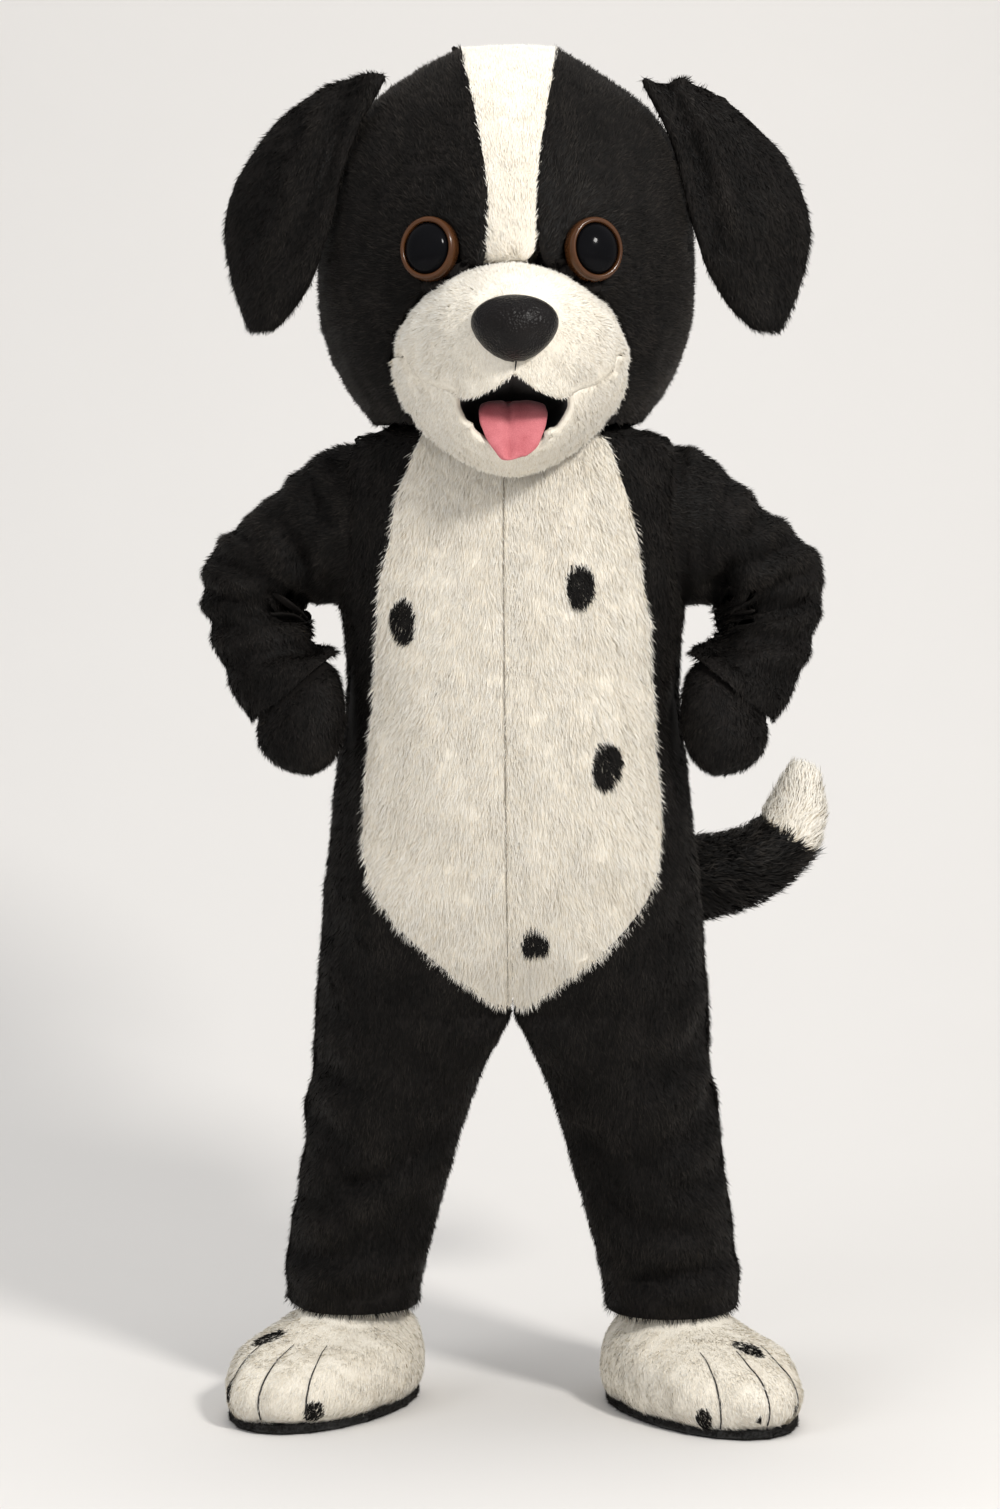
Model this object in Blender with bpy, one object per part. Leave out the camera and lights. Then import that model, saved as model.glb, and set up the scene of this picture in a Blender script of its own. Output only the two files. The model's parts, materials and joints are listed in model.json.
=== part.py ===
# Dog mascot costume, worn pose with the hands on the hips: head, suit, mitts, tail and boots.
# Metres, +Z up. The costume faces -Y, and the wearer's left is at +X.
# Heights in the tables are measured from the soles; one empty puts the origin at shoulder height,
# where the wearer carries the suit.
import math

import bmesh
import bpy
import numpy as np
from mathutils import Euler, Matrix, Vector

# Driving sizes
HOLD_HEIGHT = 1.335     # neck base above the soles
HEAD_HEIGHT = 1.516     # widest level of the head above the soles
HEAD_SHIFT = -0.008     # the head sits a little towards the wearer's right
HEAD_YAW = 1.7          # degrees, face turned towards the wearer's left
FUR = 0.007             # pile cloth: backing with the lying pile
HEAD_WALL = 0.014       # foam shell with pile cloth on it
GAP = 0.0003            # between pieces that touch
SEAM = GAP * 0.55       # half of the gap along a sewn seam

# Torso sections from the neck opening down to the crotch
# height, half width, front depth, back depth, corner power
TORSO = [
    (1.372, 0.106, 0.100, 0.098, 2.0),
    (1.352, 0.122, 0.108, 0.106, 2.1),
    (1.338, 0.144, 0.116, 0.115, 2.2),
    (1.329, 0.168, 0.122, 0.122, 2.4),
    (1.324, 0.190, 0.128, 0.129, 2.6),
    (1.312, 0.212, 0.134, 0.137, 2.9),
    (1.290, 0.224, 0.141, 0.146, 3.0),
    (1.250, 0.229, 0.148, 0.156, 3.0),
    (1.200, 0.231, 0.154, 0.161, 3.0),
    (1.145, 0.232, 0.159, 0.161, 2.8),
    (1.090, 0.233, 0.164, 0.157, 2.6),
    (1.035, 0.227, 0.169, 0.153, 2.5),
    (0.975, 0.225, 0.176, 0.152, 2.4),
    (0.910, 0.232, 0.183, 0.157, 2.3),
    (0.845, 0.241, 0.187, 0.167, 2.3),
    (0.785, 0.248, 0.186, 0.176, 2.3),
    (0.730, 0.254, 0.182, 0.184, 2.3),
    (0.675, 0.259, 0.175, 0.187, 2.3),
    (0.625, 0.263, 0.165, 0.186, 2.3),
    (0.580, 0.268, 0.153, 0.181, 2.3),
    (0.545, 0.271, 0.140, 0.174, 2.3),
]

# White belly panel: height, half width measured straight across
BELLY = [
    (0.545, 0.000), (0.580, 0.047), (0.625, 0.108), (0.675, 0.161), (0.730, 0.193),
    (0.785, 0.202), (0.845, 0.199), (0.910, 0.191), (0.975, 0.186), (1.035, 0.182),
    (1.090, 0.179), (1.145, 0.172), (1.200, 0.163), (1.250, 0.150), (1.290, 0.134),
    (1.312, 0.124), (1.324, 0.112), (1.329, 0.100), (1.338, 0.082), (1.352, 0.064), (1.372, 0.050),
]

# Trouser leg sections, wearer's left: height, inner edge, outer edge, half depth
LEG = [
    (0.516, 0.014, 0.272, 0.146),
    (0.482, 0.030, 0.273, 0.138),
    (0.448, 0.043, 0.274, 0.131),
    (0.415, 0.056, 0.286, 0.128),
    (0.381, 0.067, 0.288, 0.122),
    (0.347, 0.077, 0.286, 0.115),
    (0.313, 0.085, 0.295, 0.114),
    (0.280, 0.095, 0.297, 0.108),
    (0.246, 0.104, 0.305, 0.109),
    (0.212, 0.113, 0.308, 0.105),
    (0.178, 0.121, 0.316, 0.107),
    (0.150, 0.126, 0.311, 0.101),
    (0.130, 0.126, 0.313, 0.103),
]
LEG_BLEND = 0.12                            # the leg turns from a half section to an oval in this height
HIP_BACK, SEAT_DEPTH = 0.014, 0.010         # the hips stand back and the seat is fuller
LEG_TOP_POWER, LEG_POWER = 2.3, 2.1
CLEFT_DEPTH, CLEFT_HEIGHT, CLEFT_WIDTH = 0.045, 0.13, 0.055     # the front draws in above the crotch
ANKLE_BACK = {"left": 0.020, "right": 0.050}  # how far behind the torso's middle each ankle stands

# Sleeve sections, wearer's left, each a slice from its outer point to its inner point
# outer x, outer height, inner x, inner height, depth place, half depth
SLEEVE = [
    (0.180, 1.312, 0.186, 1.092, 0.004, 0.088),
    (0.236, 1.312, 0.236, 1.090, 0.004, 0.094),
    (0.266, 1.297, 0.254, 1.092, 0.006, 0.097),
    (0.303, 1.262, 0.264, 1.091, 0.011, 0.097),
    (0.342, 1.227, 0.270, 1.088, 0.018, 0.096),
    (0.390, 1.193, 0.273, 1.084, 0.026, 0.094),
    (0.419, 1.157, 0.274, 1.078, 0.032, 0.090),
    (0.427, 1.117, 0.274, 1.071, 0.033, 0.086),
    (0.423, 1.087, 0.2735, 1.064, 0.028, 0.082),
    (0.414, 1.056, 0.272, 1.057, 0.017, 0.080),
    (0.402, 1.022, 0.267, 1.049, 0.000, 0.077),
    (0.386, 0.988, 0.257, 1.041, -0.020, 0.075),
    (0.370, 0.956, 0.245, 1.036, -0.038, 0.073),
    (0.352, 0.934, 0.234, 1.030, -0.050, 0.072),
]

# Mitt sections past the cuff, in the same columns as the sleeve
MITT = [
    (0.345, 0.916, 0.227, 1.004, -0.072, 0.066),
    (0.337, 0.900, 0.220, 0.976, -0.086, 0.064),
    (0.325, 0.884, 0.217, 0.945, -0.097, 0.061),
    (0.308, 0.872, 0.220, 0.914, -0.103, 0.054),
    (0.288, 0.866, 0.229, 0.892, -0.105, 0.042),
    (0.272, 0.864, 0.243, 0.876, -0.105, 0.022),
]
MITT_INSET = 0.0136     # the mitt's hand opening lies this far inside the sleeve's outer face

# Tail: x, depth place, height, radius
TAIL = [
    (0.000, 0.140, 0.712, 0.046),
    (0.003, 0.200, 0.706, 0.050),
    (0.024, 0.246, 0.699, 0.054),
    (0.076, 0.272, 0.692, 0.057),
    (0.140, 0.270, 0.688, 0.059),
    (0.204, 0.252, 0.690, 0.060),
    (0.264, 0.232, 0.698, 0.060),
    (0.316, 0.217, 0.712, 0.058),
    (0.358, 0.208, 0.732, 0.054),
    (0.388, 0.205, 0.762, 0.049),
    (0.402, 0.204, 0.798, 0.041),
    (0.409, 0.204, 0.832, 0.030),
    (0.412, 0.204, 0.858, 0.016),
]
TAIL_TIP_ROW = 9        # the white tip starts at this section

# Boot sections, the toe end towards -Y: height, half length, half width, forward shift
BOOT = [
    (0.0120, 0.174, 0.104, 0.074),
    (0.0260, 0.187, 0.114, 0.076),
    (0.0480, 0.190, 0.117, 0.075),
    (0.0720, 0.180, 0.113, 0.068),
    (0.0940, 0.158, 0.105, 0.054),
    (0.1110, 0.112, 0.081, 0.022),
    (0.1230, 0.0832, 0.0692, 0.004),
    (0.1360, 0.0782, 0.0682, 0.002),
    (0.1640, 0.074, 0.066, 0.000),
]
BOOT_TURN = 28.0        # degrees, toes outwards
BOOT_X = 0.222          # ankle, from the middle
SOLE_INSET = 0.0006
SOLE_BEVEL, SOLE_BEVEL_HEIGHT = 0.004, 0.003
HEEL_NARROW, TOE_BROAD = 0.10, 0.02     # part of the half width
TOE_GROOVES = (-34.0, -2.0, 30.0)   # degrees round the toe cap
GROOVE_DEPTH = 0.010
GROOVE_WIDTH = 7.0      # degrees
GROOVE_LOW, GROOVE_HIGH = (0.014, 0.020), (0.100, 0.030)    # height where it fades and over how much

# Head shell: half width, heights above and below its widest level, front and back depths
HEAD_W, HEAD_TOP, HEAD_LOW, HEAD_FRONT, HEAD_BACK = 0.257, 0.330, 0.250, 0.220, 0.235
HEAD_TOP_POWER, HEAD_LOW_POWER, HEAD_DEPTH_POWER = 2.8, 2.0, 2.3
HEAD_RIM = 1.3303 - HEAD_HEIGHT     # neck opening of the black shell, just over the shoulders
HEAD_MIDDLE = -0.080                # level that the seams spread from

# Muzzle and jaw: half width, reach above and below their middle level, outline power
MUZZLE_LEVEL = 1.411 - HEAD_HEIGHT
MUZZLE_W, MUZZLE_UP, MUZZLE_DOWN, MUZZLE_POWER = 0.160, 0.125, 0.148, 1.85
MUZZLE_REACH = 0.130                # how far it stands out of the head
MUZZLE_SEAT = -0.200                # depth place of its middle before it stands out
MUZZLE_LIFT = 0.022                 # its middle stands higher than its outline's
MUZZLE_DOME, DOME_TOP, DOME_LOW = 2.3, 0.75, 0.15   # powers of its rounding, fuller below
MUZZLE_RINGS = (0.0, 0.2437, 0.5119, 0.78)   # part of the way from the middle to the lip
FREE_LIP = 0.80                     # lip ring above the smile, part of the way to the outline
FREE_LIP_ANGLES = (50, 34)          # degrees from the top where it starts to turn into the lip, over how much
FREE_LIP_STEP = 0.008
# Outline depth by angle from the top, in degrees
OUTLINE_DEPTH = [(0, -0.219), (45, -0.198), (90, -0.156), (120, -0.150), (150, -0.172), (180, -0.192)]
# Lip line and lower edge of the mouth: angle from the top in degrees, distance from the middle
LIP = [(84, 0.1385), (100, 0.1340), (112, 0.1180), (129, 0.0930), (144, 0.0710), (159, 0.0530), (180, 0.0400)]
MOUTH = [(84, 0.1385), (100, 0.1340), (112, 0.1180), (129, 0.0930), (139, 0.1000), (158, 0.1130), (180, 0.1260)]
SMILE_START = 90
MOUTH_CORNER = 129

# Blaze: height above the head's widest level, half width
BLAZE_REACH = 0.30      # from the head's middle to its front
BLAZE = [(0.020, 0.036), (0.060, 0.031), (0.150, 0.034), (0.250, 0.044), (0.315, 0.051)]

# Ears, wearer's left: height, middle x, half width seen from the front
EAR = [
    (1.790, 0.200, 0.034), (1.766, 0.232, 0.050), (1.729, 0.267, 0.062), (1.691, 0.292, 0.071),
    (1.658, 0.306, 0.077), (1.625, 0.316, 0.079), (1.594, 0.323, 0.077), (1.562, 0.326, 0.072),
    (1.530, 0.327, 0.063), (1.500, 0.329, 0.051), (1.472, 0.333, 0.036), (1.453, 0.336, 0.018),
]
EAR_TURN = {"left": 18.0, "right": 34.0}    # degrees, how far the outer edge turns back
EAR_SCALE = 1.0 / math.cos(math.radians(26.0))
EAR_PLACE = -0.075
EAR_THICK = 0.013
EAR_EDGE = 0.004
EAR_LEAST = 0.003
EAR_CURL, EAR_WIDTH = 0.016, 0.08       # its edges curl back this far where it is this wide
EAR_FOLD, FOLD_WAVES, FOLD_PHASE = 0.004, 1.3, 0.15     # soft lengthwise folds near the root
EAR_FOLD_ROWS = 7

# Eyes: distance from the middle, height above the head's widest level, half width and half height
EYE_X, EYE_Z, EYE_W, EYE_H = 0.107, 0.034, 0.0375, 0.0415
EYE_TURN, EYE_TILT = 22.0, 4.0      # degrees outwards and upwards
# Ring and dome turned about the eye's axis: part of the half size, height out of the head
EYE_RING = [(0.805, -0.012), (1.0, -0.012), (1.0, 0.002), (0.97, 0.007), (0.90, 0.0095), (0.83, 0.009),
            (0.805, 0.005)]
EYE_DOME = [(0.0, -0.012), (0.795, -0.012), (0.795, 0.004), (0.74, 0.0085), (0.58, 0.0135), (0.36, 0.0170),
            (0.0, 0.0185)]
EYE_STEPS = 20
EYE_BORE = 0.06         # half length of the cutter that makes the eye's seat

# Nose: half width, half height, half depth, height above the head's widest level, place
NOSE_W, NOSE_H, NOSE_D, NOSE_Z, NOSE_Y = 0.056, 0.044, 0.046, -0.074, -0.326
NOSE_TOP_WIDE, NOSE_LOW_NARROW, NOSE_TOP_FLAT = 0.16, 0.10, 0.94
NOSTRIL_X, NOSTRIL_Z, NOSTRIL_DEPTH, NOSTRIL_SIZE = 0.027, -0.016, 0.008, 0.009

# Mouth lining: part of the opening's size, part of the way to the back
MOUTH_STEPS = [(1.0, 0.0), (0.98, 0.30), (0.90, 0.62), (0.70, 0.86), (0.38, 1.0)]
MOUTH_BACK = -0.176
MOUTH_HEART = -0.192    # height of the mouth's middle from the head's widest level
MOUTH_COLUMNS = 7       # along the jaw, and again along the lip
TINY = 0.002            # step for the skin's slope
LINING = 0.002
LINING_GAP = 0.0018     # behind the lips' inner face
# Tongue sections from its root: depth place, height, half width
TONGUE = [
    (-0.2087, -0.1641, 0.032), (-0.2277, -0.1651, 0.039), (-0.2462, -0.1726, 0.0425), (-0.2572, -0.1891, 0.038),
    (-0.2612, -0.2051, 0.029), (-0.2617, -0.2156, 0.015),
]
TONGUE_HALF = 0.006
TONGUE_COLUMNS = 12
TONGUE_DENT, DENT_WIDTH = 0.0022, 0.2   # middle groove, part of the half width

# Zip at the centre back
ZIP_HALF = 0.004
ZIP_TOP_ROW, ZIP_LOW_ROW = 6, 15    # torso sections between which it runs
ZIP_RECESS = 0.0025
ZIP_THICK = 0.002
PIN_RADIUS = 0.0010
PIN_HEIGHT = 0.0068     # hinge pin above the zip tape
SLIDER = (0.0074, 0.011, 0.0032)        # width, length along the zip, thickness
SLIDER_DROP = 0.014     # below the zip's top
LUG = (0.0013, 0.005)   # width and length of the two lugs that hold the pin
LUG_X, LUG_OVER = 0.0030, 0.0018
HINGE_DROP = 0.001      # the pin lies this far below the slider's middle
PIN_LENGTH = 0.006
PULL = (0.0040, 0.024, 0.0014)
EYE_WALL, EYE_PLAY = 0.0016, 0.0004     # the pull's eye round the pin

BELLY_STEPS, SIDE_STEPS, BACK_STEPS, INSEAM_STEPS = 5, 3, 6, 6
SIDES = {"left": 1, "right": -1}

COLOURS = {
    "black_fur": ((0.012, 0.010, 0.009), 0.9, 0.0),
    "white_fur": ((0.82, 0.78, 0.70), 0.9, 0.0),
    "nose_leather": ((0.008, 0.008, 0.008), 0.35, 0.0),
    "tongue_plush": ((0.72, 0.20, 0.22), 0.8, 0.0),
    "mouth_cloth": ((0.010, 0.008, 0.008), 0.9, 0.0),
    "eye_black": ((0.004, 0.004, 0.004), 0.05, 0.0),
    "eye_brown": ((0.20, 0.055, 0.012), 0.15, 0.0),
    "sole_rubber": ((0.015, 0.015, 0.015), 0.7, 0.0),
    "zip_tape": ((0.015, 0.015, 0.015), 0.7, 0.0),
    "zip_metal": ((0.05, 0.05, 0.05), 0.4, 1.0),
}


def clear_scene():
    for thing in list(bpy.data.objects):
        bpy.data.objects.remove(thing, do_unlink=True)


def make_collection(name):
    group = bpy.data.collections.new(name)
    bpy.context.scene.collection.children.link(group)
    return group


def make_material(name):
    colour, rough, metal = COLOURS[name]
    material = bpy.data.materials.new(name)
    material.use_nodes = True
    shader = material.node_tree.nodes["Principled BSDF"]
    shader.inputs["Base Color"].default_value = (*colour, 1.0)
    shader.inputs["Roughness"].default_value = rough
    shader.inputs["Metallic"].default_value = metal
    return material


clear_scene()
PARTS = make_collection("dog_mascot_costume")
CUTTERS = make_collection("cutters")
MATERIALS = {name: make_material(name) for name in COLOURS}

floor_frame = bpy.data.objects.new("floor_frame", None)
floor_frame.location = (0, 0, -HOLD_HEIGHT)
PARTS.objects.link(floor_frame)
head_frame = bpy.data.objects.new("head_frame", None)
head_frame.location = (HEAD_SHIFT, 0, HEAD_HEIGHT)
head_frame.rotation_euler = (0, 0, math.radians(HEAD_YAW))
head_frame.parent = floor_frame
PARTS.objects.link(head_frame)


def add_object(name, mesh, material=None, parent=floor_frame, smooth=True):
    thing = bpy.data.objects.new(name, mesh)
    thing.parent = parent
    if material:
        mesh.materials.append(MATERIALS[material])
        PARTS.objects.link(thing)
    else:
        CUTTERS.objects.link(thing)
        thing.hide_render = True
        thing.display_type = 'WIRE'
    if smooth:
        mesh.shade_smooth()
    return thing


def mesh_from(name, points, faces):
    mesh = bpy.data.meshes.new(name)
    mesh.from_pydata([tuple(p) for p in points], [], faces)
    mesh.update()
    return mesh


def boolean(thing, cutter, operation='DIFFERENCE'):
    cut = thing.modifiers.new(cutter.name, 'BOOLEAN')
    cut.operation = operation
    cut.solver = 'EXACT'
    cut.object = cutter


def weld(points, faces, tags=None):
    # Points at the same place become one, and faces that shrink to a line are dropped
    found, order, kept = {}, [], []
    for point in points:
        key = tuple(round(c, 6) for c in point)
        if key not in found:
            found[key] = len(kept)
            kept.append(Vector(point))
        order.append(found[key])
    new_faces, new_tags = [], []
    for number, face in enumerate(faces):
        loop = []
        for index in face:
            if order[index] not in loop:
                loop.append(order[index])
        for part in split_quad(kept, loop):
            new_faces.append(part)
            new_tags.append(tags[number] if tags else None)
    return kept, new_faces, new_tags


def split_quad(points, loop):
    # Four corners become two triangles across the shorter way, the same for every use of a surface
    if len(loop) != 4:
        return [tuple(loop)] if len(loop) > 2 else []
    a, b, c, d = loop
    if (points[a] - points[c]).length < (points[b] - points[d]).length + 1e-6:
        return [(a, b, c), (a, c, d)]
    return [(b, c, d), (b, d, a)]


def point_normals(points, faces):
    normals = [Vector() for _ in points]
    for face in faces:
        corners = [points[i] for i in face]
        area = Vector()
        for a, b in zip(corners, corners[1:] + corners[:1]):
            area += a.cross(b)
        for i in face:
            normals[i] += area
    return [n.normalized() for n in normals]


def wall_mesh(name, points, normals, faces, wall, inset=None):
    # A closed wall: the outer faces, the same faces moved inwards, and a rim between them.
    # Its free edges are drawn back along the surface, so that neighbours stay apart.
    directed = {(a, b) for face in faces for a, b in zip(face, face[1:] + face[:1])}
    border = [(a, b) for a, b in directed if (b, a) not in directed]
    push = {}
    for a, b in border:
        normal = (normals[a] + normals[b]).normalized()
        inward = normal.cross(points[b] - points[a]).normalized()
        for i in (a, b):
            push[i] = push.get(i, Vector()) + inward
    used = sorted({i for face in faces for i in face})
    index = {i: n for n, i in enumerate(used)}
    outer, inner = [], []
    for i in used:
        point = points[i].copy()
        if i in push:
            way = push[i]
            distance = inset(points[i]) if inset else SEAM
            reach = min(2.0 / max(way.length_squared, 0.3), 3.0)
            point += way * distance * reach
        outer.append(point)
        inner.append(point - normals[i] * (wall(points[i]) if callable(wall) else wall))
    count = len(used)
    closed = [tuple(index[i] for i in face) for face in faces]
    closed += [tuple(index[i] + count for i in reversed(face)) for face in faces]
    for a, b in border:
        # The rim's diagonal starts at the same end for both of the pieces that meet here
        near, far, near_in, far_in = index[b], index[a], index[b] + count, index[a] + count
        if tuple(points[a]) < tuple(points[b]):
            closed += [(near, far, near_in), (far, far_in, near_in)]
        else:
            closed += [(near, far, far_in), (near, far_in, near_in)]
    return mesh_from(name, outer + inner, closed)


def grid_faces(rows, columns):
    faces = []
    for r in range(rows - 1):
        for c in range(columns):
            n = (c + 1) % columns
            faces.append((r * columns + c, (r + 1) * columns + c, (r + 1) * columns + n, r * columns + n))
    return faces


def face_out(points, faces, columns):
    # Turns a tube's faces outwards, judged by its second ring
    normals = point_normals(points, faces)
    ring = points[columns:2 * columns]
    middle = sum(ring, Vector()) / columns
    out = sum((p - middle).dot(n) for p, n in zip(ring, normals[columns:2 * columns]))
    return faces if out > 0 else [tuple(reversed(f)) for f in faces]


def filled(faces, rings, columns):
    # Caps a tube of rings at both ends
    last = (rings - 1) * columns
    return faces + [tuple(range(columns))] + [tuple(last + c for c in reversed(range(columns)))]


def squircle(angle, half_width, front, back, power):
    side, ahead = math.sin(angle), math.cos(angle)
    x = half_width * abs(side) ** (2 / power) * (1 if side >= 0 else -1)
    y = (-front if ahead > 0 else back) * abs(ahead) ** (2 / power)
    return x, y


def look_up(table, key, column=1):
    rows = sorted(table)
    return float(np.interp(key, [row[0] for row in rows], [row[column] for row in rows]))


def smooth_step(t):
    t = min(max(t, 0.0), 1.0)
    return t * t * (3 - 2 * t)


# Suit surface: torso rings joined to two legs at the crotch

def torso_angles(row):
    height, half_width, front, back, power = row
    share = min(look_up(BELLY, height) / half_width, 1.0)
    edge = math.asin(share ** (power / 2))
    steps = [edge * i / BELLY_STEPS for i in range(BELLY_STEPS + 1)]
    steps += [edge + (math.pi / 2 - edge) * i / SIDE_STEPS for i in range(1, SIDE_STEPS + 1)]
    steps += [math.pi / 2 * (1 + i / BACK_STEPS) for i in range(1, BACK_STEPS + 1)]
    return steps


def cleft(x, height):
    # The front draws in between the legs just above the crotch
    depth = CLEFT_DEPTH * (1 - smooth_step((height - TORSO[-1][0]) / CLEFT_HEIGHT))
    return depth * math.exp(-(x / CLEFT_WIDTH) ** 2)


def torso_half(row, side):
    height, half_width, front, back, power = row
    ring = []
    for angle in torso_angles(row):
        x, y = squircle(angle, half_width, front, back, power)
        if y < 0:
            y += cleft(x, height)
        ring.append(Vector((side * x, y, height)))
    return ring


OUTER_STEPS = SIDE_STEPS + BACK_STEPS
LEG_POINTS = OUTER_STEPS + INSEAM_STEPS     # points round one leg
INNER_SPREAD = math.radians(50)             # the torso's middle lines lie this far inside the leg's middle


def leg_ring(row, side, name):
    height, inner, outer, depth = row
    blend = smooth_step((TORSO[-1][0] - height) / LEG_BLEND)
    drop = (TORSO[-1][0] - height) / (TORSO[-1][0] - LEG[-1][0])
    shift = ANKLE_BACK[name] * drop + HIP_BACK * (1 - drop)
    middle, half = (inner + outer) / 2, (outer - inner) / 2
    front, back = depth, depth + SEAT_DEPTH * (1 - blend)
    ring = []
    for step in range(LEG_POINTS):
        if step <= OUTER_STEPS:
            part = step / SIDE_STEPS / 2 if step <= SIDE_STEPS else 0.5 + (step - SIDE_STEPS) / BACK_STEPS / 2
            half_angle = math.pi * part
            x_half, y_half = squircle(half_angle, outer - inner, front, back, LEG_TOP_POWER)
            angle = -INNER_SPREAD + part * (math.pi + 2 * INNER_SPREAD)
        else:
            part = (step - OUTER_STEPS) / INSEAM_STEPS
            x_half, y_half = 0.0, back * (1 - part) - front * part
            angle = math.pi + INNER_SPREAD + part * (math.pi - 2 * INNER_SPREAD)
        x_oval, y_oval = squircle(angle, half, front, back, LEG_POWER)
        flat = Vector((inner + x_half, y_half, 0))
        oval = Vector((middle + x_oval, y_oval, 0))
        point = flat.lerp(oval, blend)
        ring.append(Vector((side * point.x, point.y + shift, height)))
    return ring


def suit_surface():
    points, faces, tags = [], [], []
    half = BELLY_STEPS + SIDE_STEPS + BACK_STEPS + 1
    for side_name, side in SIDES.items():
        start = len(points)
        for row in TORSO:
            points += torso_half(row, side)
        flip = side < 0
        for r in range(len(TORSO) - 1):
            for c in range(half - 1):
                a, b = start + r * half + c, start + (r + 1) * half + c
                face = (a, b, b + 1, a + 1)
                faces.append(tuple(reversed(face)) if flip else face)
                if c < BELLY_STEPS:
                    tags.append("belly_" + side_name)
                elif c < BELLY_STEPS + SIDE_STEPS:
                    tags.append("front_" + side_name)
                else:
                    tags.append("back_" + side_name)
        low = torso_half(TORSO[-1], side)[BELLY_STEPS:]
        crotch = [low[-1].lerp(low[0], i / INSEAM_STEPS) for i in range(1, INSEAM_STEPS)]
        rings = [low + crotch] + [leg_ring(row, side, side_name) for row in LEG]
        start = len(points)
        for ring in rings:
            points += ring
        for r in range(len(rings) - 1):
            for c in range(LEG_POINTS):
                n = (c + 1) % LEG_POINTS
                a, b = start + r * LEG_POINTS, start + (r + 1) * LEG_POINTS
                face = (a + c, b + c, b + n, a + n)
                faces.append(tuple(reversed(face)) if flip else face)
                behind = SIDE_STEPS <= c < OUTER_STEPS + INSEAM_STEPS // 2
                tags.append(("back_" if behind else "front_") + side_name)
    return weld(points, faces, tags)


def zip_inset(point):
    # The back panels part for the zip
    on_middle = abs(point.x) < 1e-6 and point.y > 0
    top, low = TORSO[ZIP_TOP_ROW][0], TORSO[ZIP_LOW_ROW][0]
    if on_middle and low - 1e-6 <= point.z <= top + 1e-6:
        return ZIP_HALF + GAP
    return SEAM


def build_suit():
    points, faces, tags = suit_surface()
    normals = point_normals(points, faces)
    made = {}
    for panel in sorted(set(tags)):
        own = [face for face, tag in zip(faces, tags) if tag == panel]
        inset = zip_inset if panel.startswith("back") else None
        colour = "white_fur" if panel.startswith("belly") else "black_fur"
        made[panel] = add_object(panel, wall_mesh(panel, points, normals, own, FUR, inset), colour)
    return made


def torso_volume(name, offset):
    # The torso as one filled form, moved in or out by the offset
    points = []
    for row in TORSO:
        left, right = torso_half(row, 1), torso_half(row, -1)
        points += left + right[-2:0:-1]
    columns = len(points) // len(TORSO)
    faces = filled(grid_faces(len(TORSO), columns), len(TORSO), columns)
    points, faces, _ = weld(points, face_out(points, faces, columns))
    normals = point_normals(points, faces)
    moved = [p + n * offset for p, n in zip(points, normals)]
    volume = add_object(name, mesh_from(name, moved, faces))
    fix_normals(volume.data)
    return volume


# Sleeves and mitts

ARM_POINTS = 14
ELBOW_ROW, FOLD_SPREAD = 7.3, 3.2       # the folds fade this many rows from the elbow
FOLD_ROWS = (4, 12)
FOLD_HEIGHT = 0.0045
FOLD_EVEN, FOLD_INNER = 0.55, 0.45      # part of a fold all round, and part that deepens it in the crook
MITT_WALL = 0.006
MITT_CROWN = 0.002


def arm_slice(row, side, inset=0.0, fold=0.0):
    outer_x, outer_z, inner_x, inner_z, place, depth = row
    outer = Vector((outer_x, place, outer_z))
    inner = Vector((inner_x, place, inner_z))
    middle, across = (outer + inner) / 2, (outer - inner) / 2
    reach = across.length
    ring = []
    for step in range(ARM_POINTS):
        angle = 2 * math.pi * step / ARM_POINTS
        swell = 1 + fold * (FOLD_EVEN - FOLD_INNER * math.cos(angle)) / reach
        x_part = math.cos(angle) * (reach * swell - inset) / reach
        y_part = math.sin(angle) * (depth * swell - inset)
        point = middle + across * x_part + Vector((0, y_part, 0))
        ring.append(Vector((side * point.x, point.y, point.z)))
    return ring if side > 0 else ring[:1] + ring[:0:-1]


def sleeve_rows():
    # The table's sections, with more of them between at the elbow, where the sleeve creases
    rows, folds = [], []
    places = [p / 2 for p in range(2 * len(SLEEVE) - 1) if p % 2 == 0 or 2 * FOLD_ROWS[0] < p < 2 * FOLD_ROWS[1]]
    for place in places:
        low = min(int(place), len(SLEEVE) - 2)
        part = place - low
        rows.append([a * (1 - part) + b * part for a, b in zip(SLEEVE[low], SLEEVE[low + 1])])
        near = math.exp(-((place - ELBOW_ROW) / FOLD_SPREAD) ** 2) if FOLD_ROWS[0] < place < FOLD_ROWS[1] else 0.0
        folds.append(near * FOLD_HEIGHT * (-1 if place == int(place) else 1))
    return rows, folds


def build_sleeve(name, side, inner_torso):
    rows, folds = sleeve_rows()
    points = [p for row, fold in zip(rows, folds) for p in arm_slice(row, side, 0.0, fold)]
    faces = face_out(points, grid_faces(len(rows), ARM_POINTS), ARM_POINTS)
    normals = point_normals(points, faces)
    sleeve = add_object("sleeve_" + name, wall_mesh("sleeve", points, normals, faces, FUR), "black_fur")
    boolean(sleeve, inner_torso)
    moved = [p + n * GAP * 2 for p, n in zip(points, normals)]
    armhole = add_object("armhole_" + name, mesh_from("armhole", moved, filled(faces, len(rows), ARM_POINTS)))
    fix_normals(armhole.data)
    return armhole


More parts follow.
